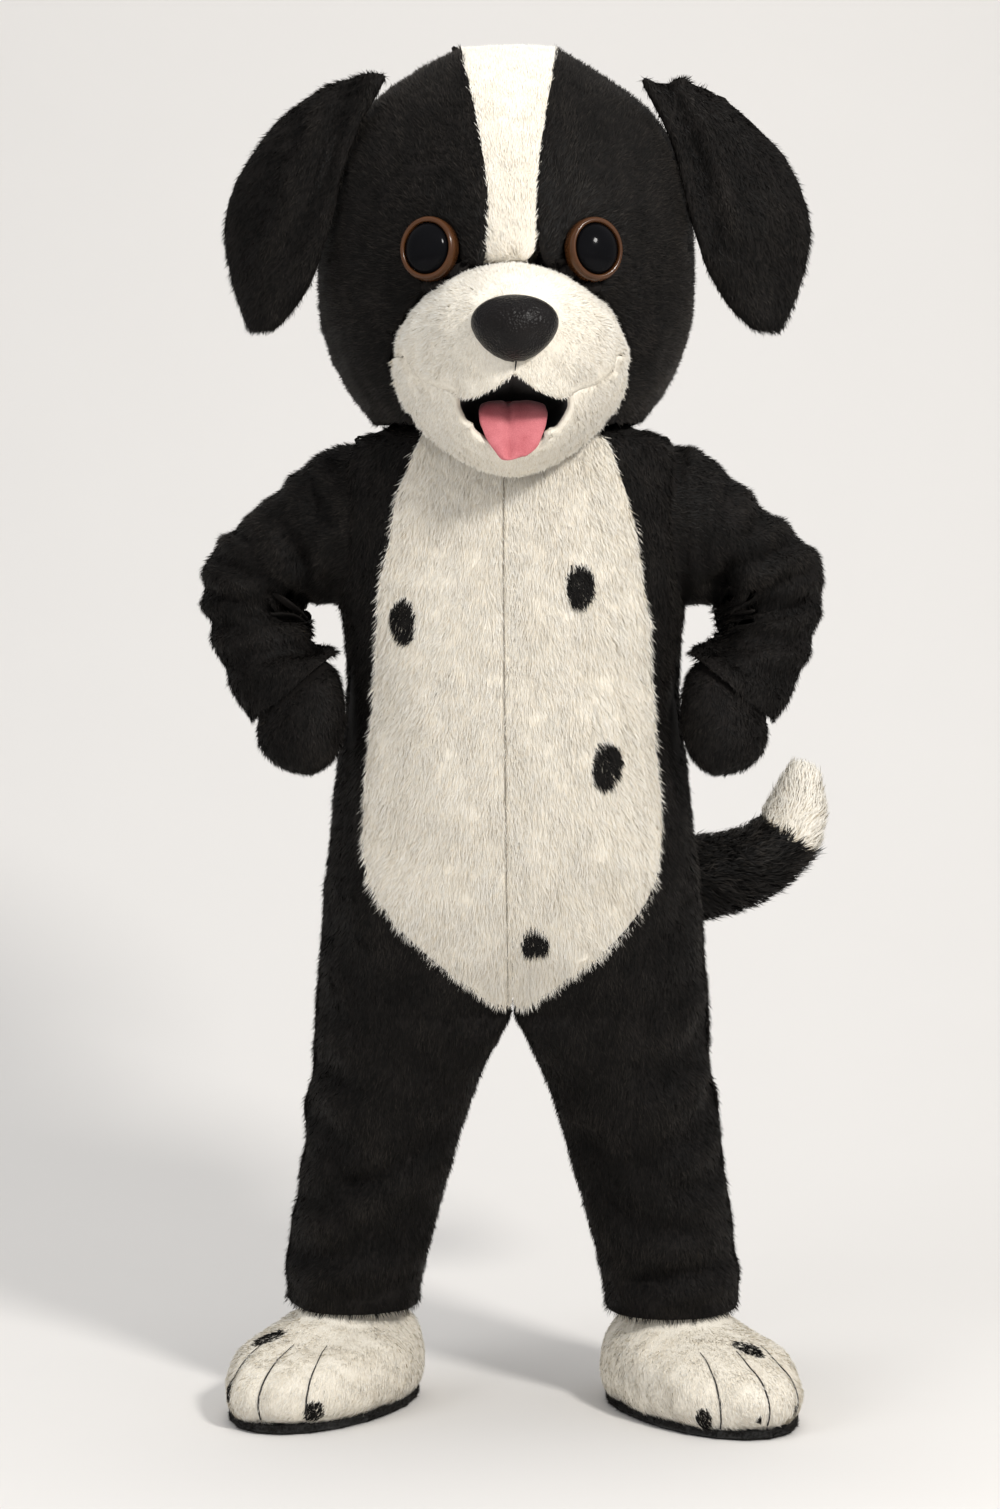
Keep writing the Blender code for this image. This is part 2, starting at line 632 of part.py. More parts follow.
def build_mitt(name, side):
    rings = [arm_slice(row, side, MITT_INSET) for row in SLEEVE[-3:]]
    rings += [arm_slice(row, side) for row in MITT]
    points = [p for ring in rings for p in ring]
    faces = grid_faces(len(rings), ARM_POINTS)
    last = (len(rings) - 1) * ARM_POINTS
    for c in range(ARM_POINTS):
        faces.append((last + c, len(points), last + (c + 1) % ARM_POINTS))
    points.append(sum(rings[-1], Vector()) / ARM_POINTS + Vector((0, 0, -MITT_CROWN)))
    faces = face_out(points, faces, ARM_POINTS)
    normals = point_normals(points, faces)
    add_object("mitt_" + name, wall_mesh("mitt", points, normals, faces, MITT_WALL), "black_fur")


# Tail

TAIL_POINTS = 12
TAIL_SIDE = Vector((0, 1, 0.25))        # its sections are turned square to this
TAIL_STEP = 0.043                       # between its sections at the tip


def tail_ring(place):
    low = min(int(place), len(TAIL) - 2)
    part = place - low
    x, y, z, radius = [a * (1 - part) + b * part for a, b in zip(TAIL[low], TAIL[low + 1])]
    near = round(place)
    ahead = Vector(TAIL[min(near + 1, len(TAIL) - 1)][:3]) - Vector(TAIL[max(near - 1, 0)][:3])
    ahead.normalize()
    across = ahead.cross(TAIL_SIDE).normalized()
    up = across.cross(ahead)
    turns = [2 * math.pi * i / TAIL_POINTS for i in range(TAIL_POINTS)]
    middle = Vector((x, y, z))
    return [middle + (across * math.cos(t) + up * math.sin(t)) * radius for t in turns]


def build_tail(torso_outer):
    split = GAP / TAIL_STEP / 2
    pieces = {
        "tail": [float(i) for i in range(TAIL_TIP_ROW)] + [TAIL_TIP_ROW - split],
        "tail_tip": [TAIL_TIP_ROW + split] + [float(i) for i in range(TAIL_TIP_ROW + 1, len(TAIL))],
    }
    for name, places in pieces.items():
        points = [p for place in places for p in tail_ring(place)]
        faces = filled(grid_faces(len(places), TAIL_POINTS), len(places), TAIL_POINTS)
        colour = "black_fur" if name == "tail" else "white_fur"
        piece = add_object(name, mesh_from(name, points, faces), colour)
        fix_normals(piece.data)
        if name == "tail":
            boolean(piece, torso_outer)


def fix_normals(mesh):
    work = bmesh.new()
    work.from_mesh(mesh)
    bmesh.ops.recalc_face_normals(work, faces=work.faces)
    work.to_mesh(mesh)
    work.free()


# Boots and soles

BOOT_POINTS = 20


def boot_ring(row, inset=0.0):
    height, length, width, forward = row
    ring = []
    for step in range(BOOT_POINTS):
        angle = 2 * math.pi * step / BOOT_POINTS
        x = math.sin(angle) * (width - inset)
        ahead = math.cos(angle)
        broad = 1 - HEEL_NARROW * ahead if ahead < 0 else 1 + TOE_BROAD * ahead
        y = -ahead * (length - inset) - forward
        ring.append(Vector((x * broad, y, height)))
    return ring


def boot_place(name, side):
    turn = Matrix.Rotation(math.radians(BOOT_TURN) * side, 4, 'Z')
    return Matrix.Translation((BOOT_X * side, ANKLE_BACK[name], 0)) @ turn


def groove(row, angle):
    height = row[0]
    level = smooth_step((height - GROOVE_LOW[0]) / GROOVE_LOW[1])
    level *= smooth_step((GROOVE_HIGH[0] - height) / GROOVE_HIGH[1])
    degrees = math.degrees(angle)
    return GROOVE_DEPTH * level * max(math.exp(-((degrees - g) / GROOVE_WIDTH) ** 2) for g in TOE_GROOVES)


def build_boot(name, side):
    points = []
    for row in BOOT:
        ring = boot_ring(row)
        for step, point in enumerate(ring):
            angle = (2 * math.pi * step / BOOT_POINTS + math.pi) % (2 * math.pi) - math.pi
            middle = Vector((0, -row[3], row[0]))
            point += (middle - point).normalized() * groove(row, angle)
            points.append(point)
    faces = face_out(points, grid_faces(len(BOOT), BOOT_POINTS), BOOT_POINTS)
    normals = point_normals(points, faces)
    boot = add_object("boot_" + name, wall_mesh("boot", points, normals, faces, FUR), "white_fur")
    boot.matrix_local = boot_place(name, side)
    levels = [(0.0, SOLE_INSET + SOLE_BEVEL), (SOLE_BEVEL_HEIGHT, SOLE_INSET), (BOOT[0][0] - GAP, SOLE_INSET)]
    plate = [Vector((p.x, p.y, level)) for level, inset in levels for p in boot_ring(BOOT[0], inset)]
    plate_faces = filled(grid_faces(3, BOOT_POINTS), 3, BOOT_POINTS)
    sole = add_object("sole_" + name, mesh_from("sole", plate, plate_faces), "sole_rubber", smooth=False)
    fix_normals(sole.data)
    sole.matrix_local = boot_place(name, side)


# Head

HEAD_COLUMNS = 36       # points round the face
UPPER_COLUMNS, CHEEK_COLUMNS = 7, 4     # from the blaze to the smile's end, and on to the mouth's corner
BLAZE_COLUMN = 1
CROWN_LEVEL = 0.20      # the blaze keeps its width up to here on the back
EASE = 4                # power by which the muzzle's outline passes into the shell
HEAD_RINGS = 11         # rings from the muzzle's outline to the back


def head_gauge(x, z):
    if z > 0:
        return (abs(x / HEAD_W) ** HEAD_TOP_POWER + abs(z / HEAD_TOP) ** HEAD_TOP_POWER) ** (1 / HEAD_TOP_POWER)
    return (abs(x / HEAD_W) ** HEAD_LOW_POWER + abs(z / HEAD_LOW) ** HEAD_LOW_POWER) ** (1 / HEAD_LOW_POWER)


def head_point(direction):
    # Where a ray from the head's middle level meets the shell
    start = Vector((0, 0, HEAD_MIDDLE))
    near, far = 0.0, 0.6
    for _ in range(28):
        reach = (near + far) / 2
        p = start + direction * reach
        depth = abs(p.y) / (HEAD_FRONT if p.y < 0 else HEAD_BACK)
        inside = head_gauge(p.x, p.z) ** HEAD_DEPTH_POWER + depth ** HEAD_DEPTH_POWER < 1
        near, far = (reach, far) if inside else (near, reach)
    return start + direction * near


def outline_radius(angle):
    up = math.cos(angle)
    tall = MUZZLE_UP if up > 0 else MUZZLE_DOWN
    total = abs(math.sin(angle) / MUZZLE_W) ** MUZZLE_POWER + abs(up / tall) ** MUZZLE_POWER
    return total ** (-1 / MUZZLE_POWER)


def outline_point(angle):
    radius = outline_radius(angle)
    degrees = math.degrees(min(abs(angle), 2 * math.pi - abs(angle)))
    depth = look_up(OUTLINE_DEPTH, degrees)
    return Vector((radius * math.sin(angle), depth, MUZZLE_LEVEL + radius * math.cos(angle)))


def muzzle_point(angle, radius):
    edge = outline_point(angle)
    share = min(radius / outline_radius(angle), 1.0)
    lower = smooth_step((1 - math.cos(angle)) / 2)
    bulge = MUZZLE_REACH * max(1 - share ** MUZZLE_DOME, 0.0) ** (DOME_TOP - DOME_LOW * lower)
    lift = MUZZLE_LIFT * (1 - share)
    depth = edge.y * share ** 2 + MUZZLE_SEAT * (1 - share ** 2) - bulge
    x = radius * math.sin(angle)
    z = MUZZLE_LEVEL + radius * math.cos(angle) + lift
    return Vector((x, depth, z))


def column_angles():
    # Angles from the top, closer together where the blaze runs; the first ones bound the blaze
    blaze = math.atan2(BLAZE[0][1], outline_radius(0.0))
    smile, corner = math.radians(SMILE_START), math.radians(MOUTH_CORNER)
    low_columns = HEAD_COLUMNS // 2 - 1 - UPPER_COLUMNS - CHEEK_COLUMNS
    half = [0.0, blaze]
    stretches = ((blaze, smile, UPPER_COLUMNS), (smile, corner, CHEEK_COLUMNS), (corner, math.pi, low_columns))
    for start, end, steps in stretches:
        half += [start + (end - start) * i / steps for i in range(1, steps + 1)]
    return half + [2 * math.pi - a for a in reversed(half[1:-1])]


def ring_radius(angle, ring):
    # Distance of a muzzle ring: ring 4 is the lip, ring 5 the lower edge of the mouth, ring 7 the outline
    degrees = math.degrees(min(angle, 2 * math.pi - angle))
    edge = outline_radius(angle)
    lip = look_up(LIP, degrees)
    mouth = look_up(MOUTH, degrees)
    turn = smooth_step((degrees - FREE_LIP_ANGLES[0]) / FREE_LIP_ANGLES[1])
    lip = FREE_LIP * edge * (1 - turn) + lip * turn
    mouth = lip + FREE_LIP_STEP if degrees < SMILE_START - 1 else mouth
    if ring < 4:
        return lip * MUZZLE_RINGS[ring]
    if ring == 4:
        return lip
    if ring == 5:
        return mouth
    return (mouth + edge) / 2 if ring == 6 else edge


def head_surface():
    angles = column_angles()
    count = len(angles)
    points, faces, tags = [], [], []
    for ring in range(8):
        for angle in angles:
            points.append(muzzle_point(angle, ring_radius(angle, ring)))
    for step in range(1, HEAD_RINGS + 1):
        part = step / HEAD_RINGS
        for number, angle in enumerate(angles):
            edge = outline_point(angle)
            start = Vector((0, 0, HEAD_MIDDLE))
            aim = (edge - start).normalized()
            polar = math.acos(max(-1.0, min(1.0, -aim.y)))
            across = Vector((aim.x, 0, aim.z))
            across = across.normalized() if across.length > 1e-9 else Vector((0, 0, 1))
            now = polar + (math.pi - polar) * part
            base = head_point(aim)
            ray = across * math.sin(now) + Vector((0, -math.cos(now), 0))
            point = head_point(ray)
            if number in (BLAZE_COLUMN, count - BLAZE_COLUMN):
                point = blaze_edge(ray, 1 if number == BLAZE_COLUMN else -1)
            points.append(point + (edge - base) * (1 - part) ** EASE)
    rings = 8 + HEAD_RINGS
    for r in range(rings - 1):
        for c in range(count):
            n = (c + 1) % count
            faces.append((r * count + c, (r + 1) * count + c, (r + 1) * count + n, r * count + n))
            tags.append(head_tag(r, c, angles))
    points, faces, tags = weld(points, faces, tags)
    normals = point_normals(points, faces)
    front = min(range(len(points)), key=lambda i: points[i].y)
    if normals[front].y > 0:
        faces = [tuple(reversed(f)) for f in faces]
    return points, faces, tags


def blaze_edge(ray, side):
    # The blaze's edge keeps its own width up to the crown, then narrows towards the back
    point = head_point(ray)
    if point.y < 0 or point.z > CROWN_LEVEL:
        width = look_up(BLAZE, point.z)
        flat = math.hypot(ray.z, ray.y)
        fixed = Vector((side * width / BLAZE_REACH * flat, ray.y, ray.z)).normalized()
        return head_point(fixed)
    return point


def head_tag(ring, column, angles):
    half = len(angles) // 2
    right = column >= half
    side = "right" if right else "left"
    mirrored = column if not right else len(angles) - 1 - column
    low_edge = math.degrees(angles[mirrored]) >= SMILE_START - 1
    mouth_gap = math.degrees(angles[mirrored]) >= MOUTH_CORNER - 1
    if ring < 4:
        return "muzzle"
    if ring == 4:
        return "mouth" if mouth_gap else "muzzle"
    if ring < 7:
        return "jaw" if low_edge else "muzzle"
    if mirrored < 1:
        return "blaze"
    return "head_" + side


def trim_below(points, faces, tags, level):
    # Opens the neck: the black shell is cut off flat at its rim
    work = bmesh.new()
    names = sorted(set(tags))
    layer = work.faces.layers.int.new("panel")
    verts = [work.verts.new(p) for p in points]
    for face, tag in zip(faces, tags):
        made = work.faces.new([verts[i] for i in face])
        made[layer] = names.index(tag)
    shell = [f for f in work.faces if names[f[layer]].startswith(("head", "blaze"))]
    edges = {e for f in shell for e in f.edges}
    corners = {v for f in shell for v in f.verts}
    bmesh.ops.bisect_plane(work, geom=shell + list(edges) + list(corners), dist=1e-6,
                           plane_co=(0, 0, level), plane_no=(0, 0, -1), clear_outer=False)
    low = [f for f in work.faces if names[f[layer]].startswith(("head", "blaze"))
           and f.calc_center_median().z < level]
    bmesh.ops.delete(work, geom=low, context='FACES')
    work.verts.index_update()
    new_points = [v.co.copy() for v in work.verts]
    new_faces = [tuple(v.index for v in f.verts) for f in work.faces]
    new_tags = [names[f[layer]] for f in work.faces]
    work.free()
    return new_points, new_faces, new_tags


def head_volume(name, offset):
    points, faces, _ = head_surface()
    normals = point_normals(points, faces)
    moved = [p + n * offset for p, n in zip(points, normals)]
    return add_object(name, mesh_from(name, moved, faces), parent=head_frame)


def build_head():
    points, faces, tags = head_surface()
    normals = point_normals(points, faces)
    points, faces, tags = trim_below(points, faces, tags, HEAD_RIM)
    normals = point_normals(points, faces)
    made = {}
    for panel in ("head_left", "head_right", "blaze", "muzzle", "jaw"):
        own = [face for face, tag in zip(faces, tags) if tag == panel]
        colour = "black_fur" if panel.startswith("head") else "white_fur"
        mesh = wall_mesh(panel, points, normals, own, HEAD_WALL)
        made[panel] = add_object(panel, mesh, colour, head_frame)
    return made


def lathe(name, profile, closed):
    # Turns a profile about the eye's axis, which looks along -Y, and scales it to the eye's oval
    points = []
    for part, out in profile:
        for step in range(EYE_STEPS):
            turn = 2 * math.pi * step / EYE_STEPS
            points.append(Vector((part * EYE_W * math.cos(turn), -out, part * EYE_H * math.sin(turn))))
    faces = grid_faces(len(profile), EYE_STEPS)
    if closed:
        last = (len(profile) - 1) * EYE_STEPS
        for step in range(EYE_STEPS):
            n = (step + 1) % EYE_STEPS
            faces.append((last + step, step, n, last + n))
    points, faces, _ = weld(points, faces)
    mesh = mesh_from(name, points, faces)
    fix_normals(mesh)
    return mesh


def build_eyes(made):
    for name, side in SIDES.items():
        gauge = head_gauge(EYE_X, EYE_Z)
        depth = -HEAD_FRONT * (1 - gauge ** HEAD_DEPTH_POWER) ** (1 / HEAD_DEPTH_POWER)
        turn = Euler((math.radians(-EYE_TILT), 0, math.radians(EYE_TURN * side)))
        place = Matrix.Translation((EYE_X * side, depth, EYE_Z)) @ turn.to_matrix().to_4x4()
        seat_part = 1 + GAP / EYE_W
        profile = [(0.0, -EYE_BORE), (seat_part, -EYE_BORE), (seat_part, EYE_BORE), (0.0, EYE_BORE)]
        seat = lathe("seat", profile, False)
        cutter = add_object("eye_seat_" + name, seat, parent=head_frame)
        cutter.matrix_local = place
        boolean(made["head_" + name], cutter)
        ring = add_object("eye_ring_" + name, lathe("eye_ring", EYE_RING, True), "eye_brown", head_frame)
        ring.matrix_local = place
        dome = add_object("eye_dome_" + name, lathe("eye_dome", EYE_DOME, False), "eye_black", head_frame)
        dome.matrix_local = place


def build_nose(face_volume):
    work = bmesh.new()
    bmesh.ops.create_uvsphere(work, u_segments=20, v_segments=10, radius=1.0)
    for vert in work.verts:
        x, y, z = vert.co
        wide = 1 + NOSE_TOP_WIDE * z - NOSE_LOW_NARROW * max(-z, 0.0)
        flat = NOSE_TOP_FLAT if z > 0 else 1.0
        side = 1 if x > 0 else -1
        point = Vector((x * NOSE_W * wide, NOSE_D * y, z * NOSE_H * flat))
        near = ((point.x - side * NOSTRIL_X) ** 2 + (point.z - NOSTRIL_Z) ** 2) / NOSTRIL_SIZE ** 2
        if y < 0:
            point.y += NOSTRIL_DEPTH * math.exp(-near)
        vert.co = point
    mesh = bpy.data.meshes.new("nose")
    work.to_mesh(mesh)
    work.free()
    nose = add_object("nose", mesh, "nose_leather", head_frame)
    nose.location = (0, NOSE_Y, NOSE_Z)
    boolean(nose, face_volume)


def mouth_loop():
    # Round the opening: along the jaw from corner to corner, then back along the lip
    corner = math.radians(MOUTH_CORNER)
    angles = [corner + (2 * math.pi - 2 * corner) * i / MOUTH_COLUMNS for i in range(MOUTH_COLUMNS + 1)]
    loop = [(a, look_up(MOUTH, math.degrees(min(a, 2 * math.pi - a)))) for a in angles]
    loop += [(a, look_up(LIP, math.degrees(min(a, 2 * math.pi - a)))) for a in reversed(angles[1:-1])]
    return loop


def build_mouth():
    skin = []
    for angle, radius in mouth_loop():
        point = muzzle_point(angle, radius)
        down = muzzle_point(angle, radius + TINY) - muzzle_point(angle, radius - TINY)
        round_way = muzzle_point(angle + TINY, radius) - muzzle_point(angle - TINY, radius)
        normal = down.cross(round_way).normalized()
        normal = normal if normal.y < 0 else -normal
        skin.append(point - normal * (HEAD_WALL + LINING_GAP))
    heart = Vector((0, 0, MOUTH_HEART))
    points = []
    for part, back in MOUTH_STEPS:
        for p in skin:
            x, z = p.x * part, heart.z + (p.z - heart.z) * part
            points.append(Vector((x, p.y + (MOUTH_BACK - p.y) * back, z)))
    count = len(skin)
    faces = grid_faces(len(MOUTH_STEPS), count)
    last = (len(MOUTH_STEPS) - 1) * count
    faces.append(tuple(last + i for i in reversed(range(count))))
    normals = point_normals(points, faces)
    if normals[last].y > 0:
        faces = [tuple(reversed(f)) for f in faces]
        normals = [-n for n in normals]
    mesh = wall_mesh("mouth_lining", points, normals, faces, LINING)
    add_object("mouth_lining", mesh, "mouth_cloth", head_frame)


def build_tongue():
    points = []
    for number, (y, z, half) in enumerate(TONGUE):
        before, after = TONGUE[max(number - 1, 0)], TONGUE[min(number + 1, len(TONGUE) - 1)]
        along = Vector((0, after[0] - before[0], after[1] - before[1])).normalized()
        up = Vector((1, 0, 0)).cross(along)
        up = up if up.z - up.y > 0 else -up
        for step in range(TONGUE_COLUMNS):
            turn = 2 * math.pi * step / TONGUE_COLUMNS
            dent = TONGUE_DENT * math.exp(-(math.cos(turn) / DENT_WIDTH) ** 2) if math.sin(turn) > 0 else 0.0
            thick = TONGUE_HALF * math.sin(turn) - dent
            points.append(Vector((half * math.cos(turn), y, z)) + up * thick)
    faces = filled(grid_faces(len(TONGUE), TONGUE_COLUMNS), len(TONGUE), TONGUE_COLUMNS)
    mesh = mesh_from("tongue", points, faces)
    fix_normals(mesh)
    add_object("tongue", mesh, "tongue_plush", head_frame)


EAR_COLUMNS = 6


def ear_layer(side, turn, front):
    # One padded layer: an outer skin with soft lengthwise folds, and the seam face it shares
    out = Vector((math.cos(turn) * side, math.sin(turn), 0))
    ahead = Vector((math.sin(turn) * side, -math.cos(turn), 0))
    facing = 1 if front else -1
    skins = ([], [])
    for number, (height, middle, half) in enumerate(EAR):
        fade = math.sin(math.pi * min(number / EAR_FOLD_ROWS, 1.0))
        half *= EAR_SCALE
        for column in range(EAR_COLUMNS + 1):
            v = 2 * column / EAR_COLUMNS - 1
            bend = -EAR_CURL * v * v * half / EAR_WIDTH
            thick = EAR_EDGE + (EAR_THICK - EAR_EDGE) * math.sqrt(max(1 - v * v, 0.0))
            thick += EAR_FOLD * fade * math.cos(2 * math.pi * FOLD_WAVES * (v + FOLD_PHASE))
            centre = Vector((side * middle - HEAD_SHIFT, EAR_PLACE, height - HEAD_HEIGHT)) + out * (v * half)
            skins[0].append(centre + ahead * (bend + facing * max(thick, EAR_LEAST)))
            skins[1].append(centre + ahead * (bend + facing * GAP / 2))
    rows, columns = len(EAR), EAR_COLUMNS + 1
    count = rows * columns
    faces = []
    for r in range(rows - 1):
        for c in range(columns - 1):
            a = r * columns + c
            faces.append((a, a + columns, a + columns + 1, a + 1))
            faces.append((a + 1 + count, a + columns + 1 + count, a + columns + count, a + count))
    edge = [c for c in range(columns)] + [r * columns + columns - 1 for r in range(1, rows)]
    edge += [(rows - 1) * columns + c for c in reversed(range(columns - 1))]
    edge += [r * columns for r in reversed(range(1, rows - 1))]
    for a, b in zip(edge, edge[1:] + edge[:1]):
        faces.append((a, b, b + count, a + count))
    return skins[0] + skins[1], faces


def build_ears(head_outer):
    for name, side in SIDES.items():
        for layer, front in (("front", True), ("back", False)):
            points, faces = ear_layer(side, math.radians(EAR_TURN[name]), front)
            title = "ear_" + layer + "_" + name
            mesh = mesh_from(title, points, faces)
            fix_normals(mesh)
            boolean(add_object(title, mesh, "black_fur", head_frame), head_outer)


def back_line():
    # Middle of the back at each torso section, with its outward direction
    places = [Vector((0, row[3], row[0])) for row in TORSO]
    line = []
    for number, place in enumerate(places):
        along = places[min(number + 1, len(places) - 1)] - places[max(number - 1, 0)]
        line.append((place, Vector((0, -along.z, along.y)).normalized()))
    return line


def build_zip():
    rows = back_line()[ZIP_TOP_ROW:ZIP_LOW_ROW + 1]
    points = []
    for place, out in rows:
        for x, deep in ((-1, 0), (1, 0), (1, 1), (-1, 1)):
            points.append(place + Vector((x * ZIP_HALF, 0, 0)) - out * (ZIP_RECESS + deep * ZIP_THICK))
    mesh = mesh_from("zip_tape", points, filled(grid_faces(len(rows), 4), len(rows), 4))
    fix_normals(mesh)
    add_object("zip_tape", mesh, "zip_tape", smooth=False)
    top, low = rows[0][0], rows[1][0]
    down = (low - top).normalized()
    out = Vector((0, -down.z, down.y))
    centre = top + down * SLIDER_DROP - out * ZIP_RECESS
    turn = Matrix((Vector((1, 0, 0)), out.cross(Vector((1, 0, 0))), out)).transposed()
    place = Matrix.Translation(centre) @ turn.to_4x4()
    build_slider(place)
    build_pull(place)


def box(name, size, centre, material=None):
    bpy.ops.mesh.primitive_cube_add(size=1.0, location=centre)
    made = bpy.context.active_object
    made.name = name
    made.scale = size
    bpy.ops.object.transform_apply(location=True, rotation=False, scale=True)
    return adopt(made, material)


def rod(name, radius, length, centre, material=None):
    bpy.ops.mesh.primitive_cylinder_add(vertices=12, radius=radius, depth=length, location=centre,
                                        rotation=(0, math.pi / 2, 0))
    made = bpy.context.active_object
    made.name = name
    bpy.ops.object.transform_apply(location=True, rotation=True, scale=False)
    return adopt(made, material)


def adopt(made, material):
    for group in list(made.users_collection):
        group.objects.unlink(made)
    (PARTS if material else CUTTERS).objects.link(made)
    if material:
        made.data.materials.append(MATERIALS[material])
    else:
        made.hide_render = True
        made.display_type = 'WIRE'
    made.parent = floor_frame
    return made


def build_slider(place):
    # Local +Z points out of the back and +Y down along the zip
    slider = box("zip_slider", SLIDER, (0, 0, GAP + SLIDER[2] / 2), "zip_metal")
    lug_height = PIN_HEIGHT + LUG_OVER - GAP
    for number, x in enumerate((-LUG_X, LUG_X)):
        lug = box("lug_%d" % number, (*LUG, lug_height), (x, HINGE_DROP, GAP + lug_height / 2))
        lug.matrix_local = place
        boolean(slider, lug, 'UNION')
    pin = rod("pin", PIN_RADIUS, PIN_LENGTH, (0, HINGE_DROP, PIN_HEIGHT))
    pin.matrix_local = place
    boolean(slider, pin, 'UNION')
    slider.matrix_local = place


def build_pull(place):
    # The origin is on the hinge pin; the tab hangs down the back
    hinge = bpy.data.objects.new("pull_hinge", None)
    hinge.parent = floor_frame
    hinge.matrix_local = place @ Matrix.Translation((0, HINGE_DROP, PIN_HEIGHT))
    PARTS.objects.link(hinge)
    pull = rod("zip_pull", PIN_RADIUS + EYE_WALL, PULL[0], (0, 0, 0), "zip_metal")
    plate = box("pull_plate", PULL, (0, PULL[1] / 2, 0))
    eye = rod("pull_eye", PIN_RADIUS + EYE_PLAY, PIN_LENGTH * 3, (0, 0, 0))
    for tool, way in ((plate, 'UNION'), (eye, 'DIFFERENCE')):
        boolean(pull, tool, way)
    for thing in (pull, plate, eye):
        thing.parent = hinge


def run():
    made = build_suit()
    inner_torso = torso_volume("torso_inside", -FUR)
    outer_torso = torso_volume("torso_outside", GAP)
    for name, side in SIDES.items():
        armhole = build_sleeve(name, side, inner_torso)
        for panel in ("front_", "back_"):
            boolean(made[panel + name], armhole)
        build_mitt(name, side)
        build_boot(name, side)
    build_tail(outer_torso)
    build_zip()
    head_panels = build_head()
    head_outer = head_volume("head_outside", GAP)
    build_eyes(head_panels)
    build_nose(head_outer)
    build_mouth()
    build_tongue()
    build_ears(head_outer)


run()
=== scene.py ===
# Worn dog costume in pile cloth, dressed over the fixed frame: cloth skins, pile, face parts, zip, studio
import json
import math

import bmesh
import bpy
import numpy as np
from mathutils import Euler, Matrix, Vector
from mathutils.bvhtree import BVHTree

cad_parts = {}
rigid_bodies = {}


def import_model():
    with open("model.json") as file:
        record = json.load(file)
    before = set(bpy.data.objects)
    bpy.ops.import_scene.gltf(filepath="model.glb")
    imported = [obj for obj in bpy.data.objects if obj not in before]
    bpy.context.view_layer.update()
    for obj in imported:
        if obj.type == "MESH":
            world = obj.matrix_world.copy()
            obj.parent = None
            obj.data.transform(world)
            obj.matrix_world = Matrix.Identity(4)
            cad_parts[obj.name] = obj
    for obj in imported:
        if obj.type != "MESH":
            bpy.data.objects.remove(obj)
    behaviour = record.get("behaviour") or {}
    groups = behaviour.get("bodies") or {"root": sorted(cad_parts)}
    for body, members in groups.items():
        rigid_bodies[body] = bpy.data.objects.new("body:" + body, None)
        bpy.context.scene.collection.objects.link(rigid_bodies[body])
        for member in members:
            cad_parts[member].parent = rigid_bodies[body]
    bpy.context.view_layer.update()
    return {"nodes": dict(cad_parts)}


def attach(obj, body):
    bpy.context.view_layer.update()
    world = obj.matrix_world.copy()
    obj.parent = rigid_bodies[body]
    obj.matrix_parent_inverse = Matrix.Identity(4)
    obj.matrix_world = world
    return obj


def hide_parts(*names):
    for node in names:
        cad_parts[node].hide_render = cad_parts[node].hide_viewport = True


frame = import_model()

cadNodes = frame["nodes"]
floorDepth = 1.335      # the soles lie this far under the neck base
up = np.array((0.0, 0.0, 1.0))
headPlace = Matrix.Translation((-0.008, 0.0, 0.181)) @ Matrix.Rotation(math.radians(1.7), 4, "Z")


# small helpers

def report(text):
    print("scene:", text, flush=True)


def deselectAll():
    if bpy.context.object and bpy.context.object.mode != "OBJECT":
        bpy.ops.object.mode_set(mode="OBJECT")
    for thing in bpy.context.view_layer.objects:
        thing.select_set(False)


def pick(thing):
    deselectAll()
    bpy.context.view_layer.objects.active = thing
    thing.select_set(True)


def addObject(name, data):
    thing = bpy.data.objects.new(name, data)
    bpy.context.scene.collection.objects.link(thing)
    return thing


def fasten(thing, node=None):     # rides on the costume, and may stand in for a CAD node
    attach(thing, "costume")
    if node:
        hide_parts(node)


def editAll(thing, **steps):        # mesh operators one after the other, each on the whole piece
    pick(thing)
    bpy.ops.object.mode_set(mode="EDIT")
    for step, values in steps.items():
        bpy.ops.mesh.select_all(action="SELECT")
        getattr(bpy.ops.mesh, step)(**values)
    bpy.ops.object.mode_set(mode="OBJECT")


def applyModifier(thing, kind, **values):
    pick(thing)
    modifier = thing.modifiers.new(kind.title(), kind)
    for key, value in values.items():
        setattr(modifier, key, value)
    bpy.ops.object.modifier_apply(modifier=modifier.name)


def readPoints(mesh, kind="co"):
    flat = np.empty(len(mesh.vertices) * 3, dtype=np.float32)
    mesh.vertices.foreach_get(kind, flat)
    return flat.reshape(-1, 3).astype(np.float64)


def readNormals(mesh):
    return readPoints(mesh, "normal")


def writePoints(mesh, points):
    mesh.vertices.foreach_set("co", np.asarray(points, dtype=np.float32).ravel())
    mesh.update()


def unit(vectors):
    return vectors / np.maximum(np.linalg.norm(vectors, axis=-1, keepdims=True), 1e-9)


def between(first, second, angle):      # turned from the first way towards the second
    return first * np.cos(angle)[:, None] + second * np.sin(angle)[:, None]


def softNoise(points, size, seed):      # smooth, about -1 to 1, with lumps of the given size
    dice = np.random.default_rng(seed)
    total = np.zeros(len(points))
    for _ in range(5):
        way = unit(dice.normal(size=3))
        total += np.sin(points @ way * (2 * math.pi / size) * dice.uniform(0.7, 1.3) + dice.uniform(0, 6.28))
    return total / 2.4


def smooth(value):
    value = np.clip(value, 0, 1)
    return value * value * (3 - 2 * value)


def headPoint(x, y, z):
    return headPlace @ Vector((x, y, z))


# materials

def addNode(tree, kind, inputs=None, **values):     # nodes stand left to right as they are added
    node = tree.nodes.new(kind if kind.startswith("Node") else "ShaderNode" + kind)
    node.location = (220 * len(tree.nodes), 0)
    for key, value in values.items():
        setattr(node, key, value)
    for key, value in (inputs or {}).items():
        node.inputs[key].default_value = value
    return node


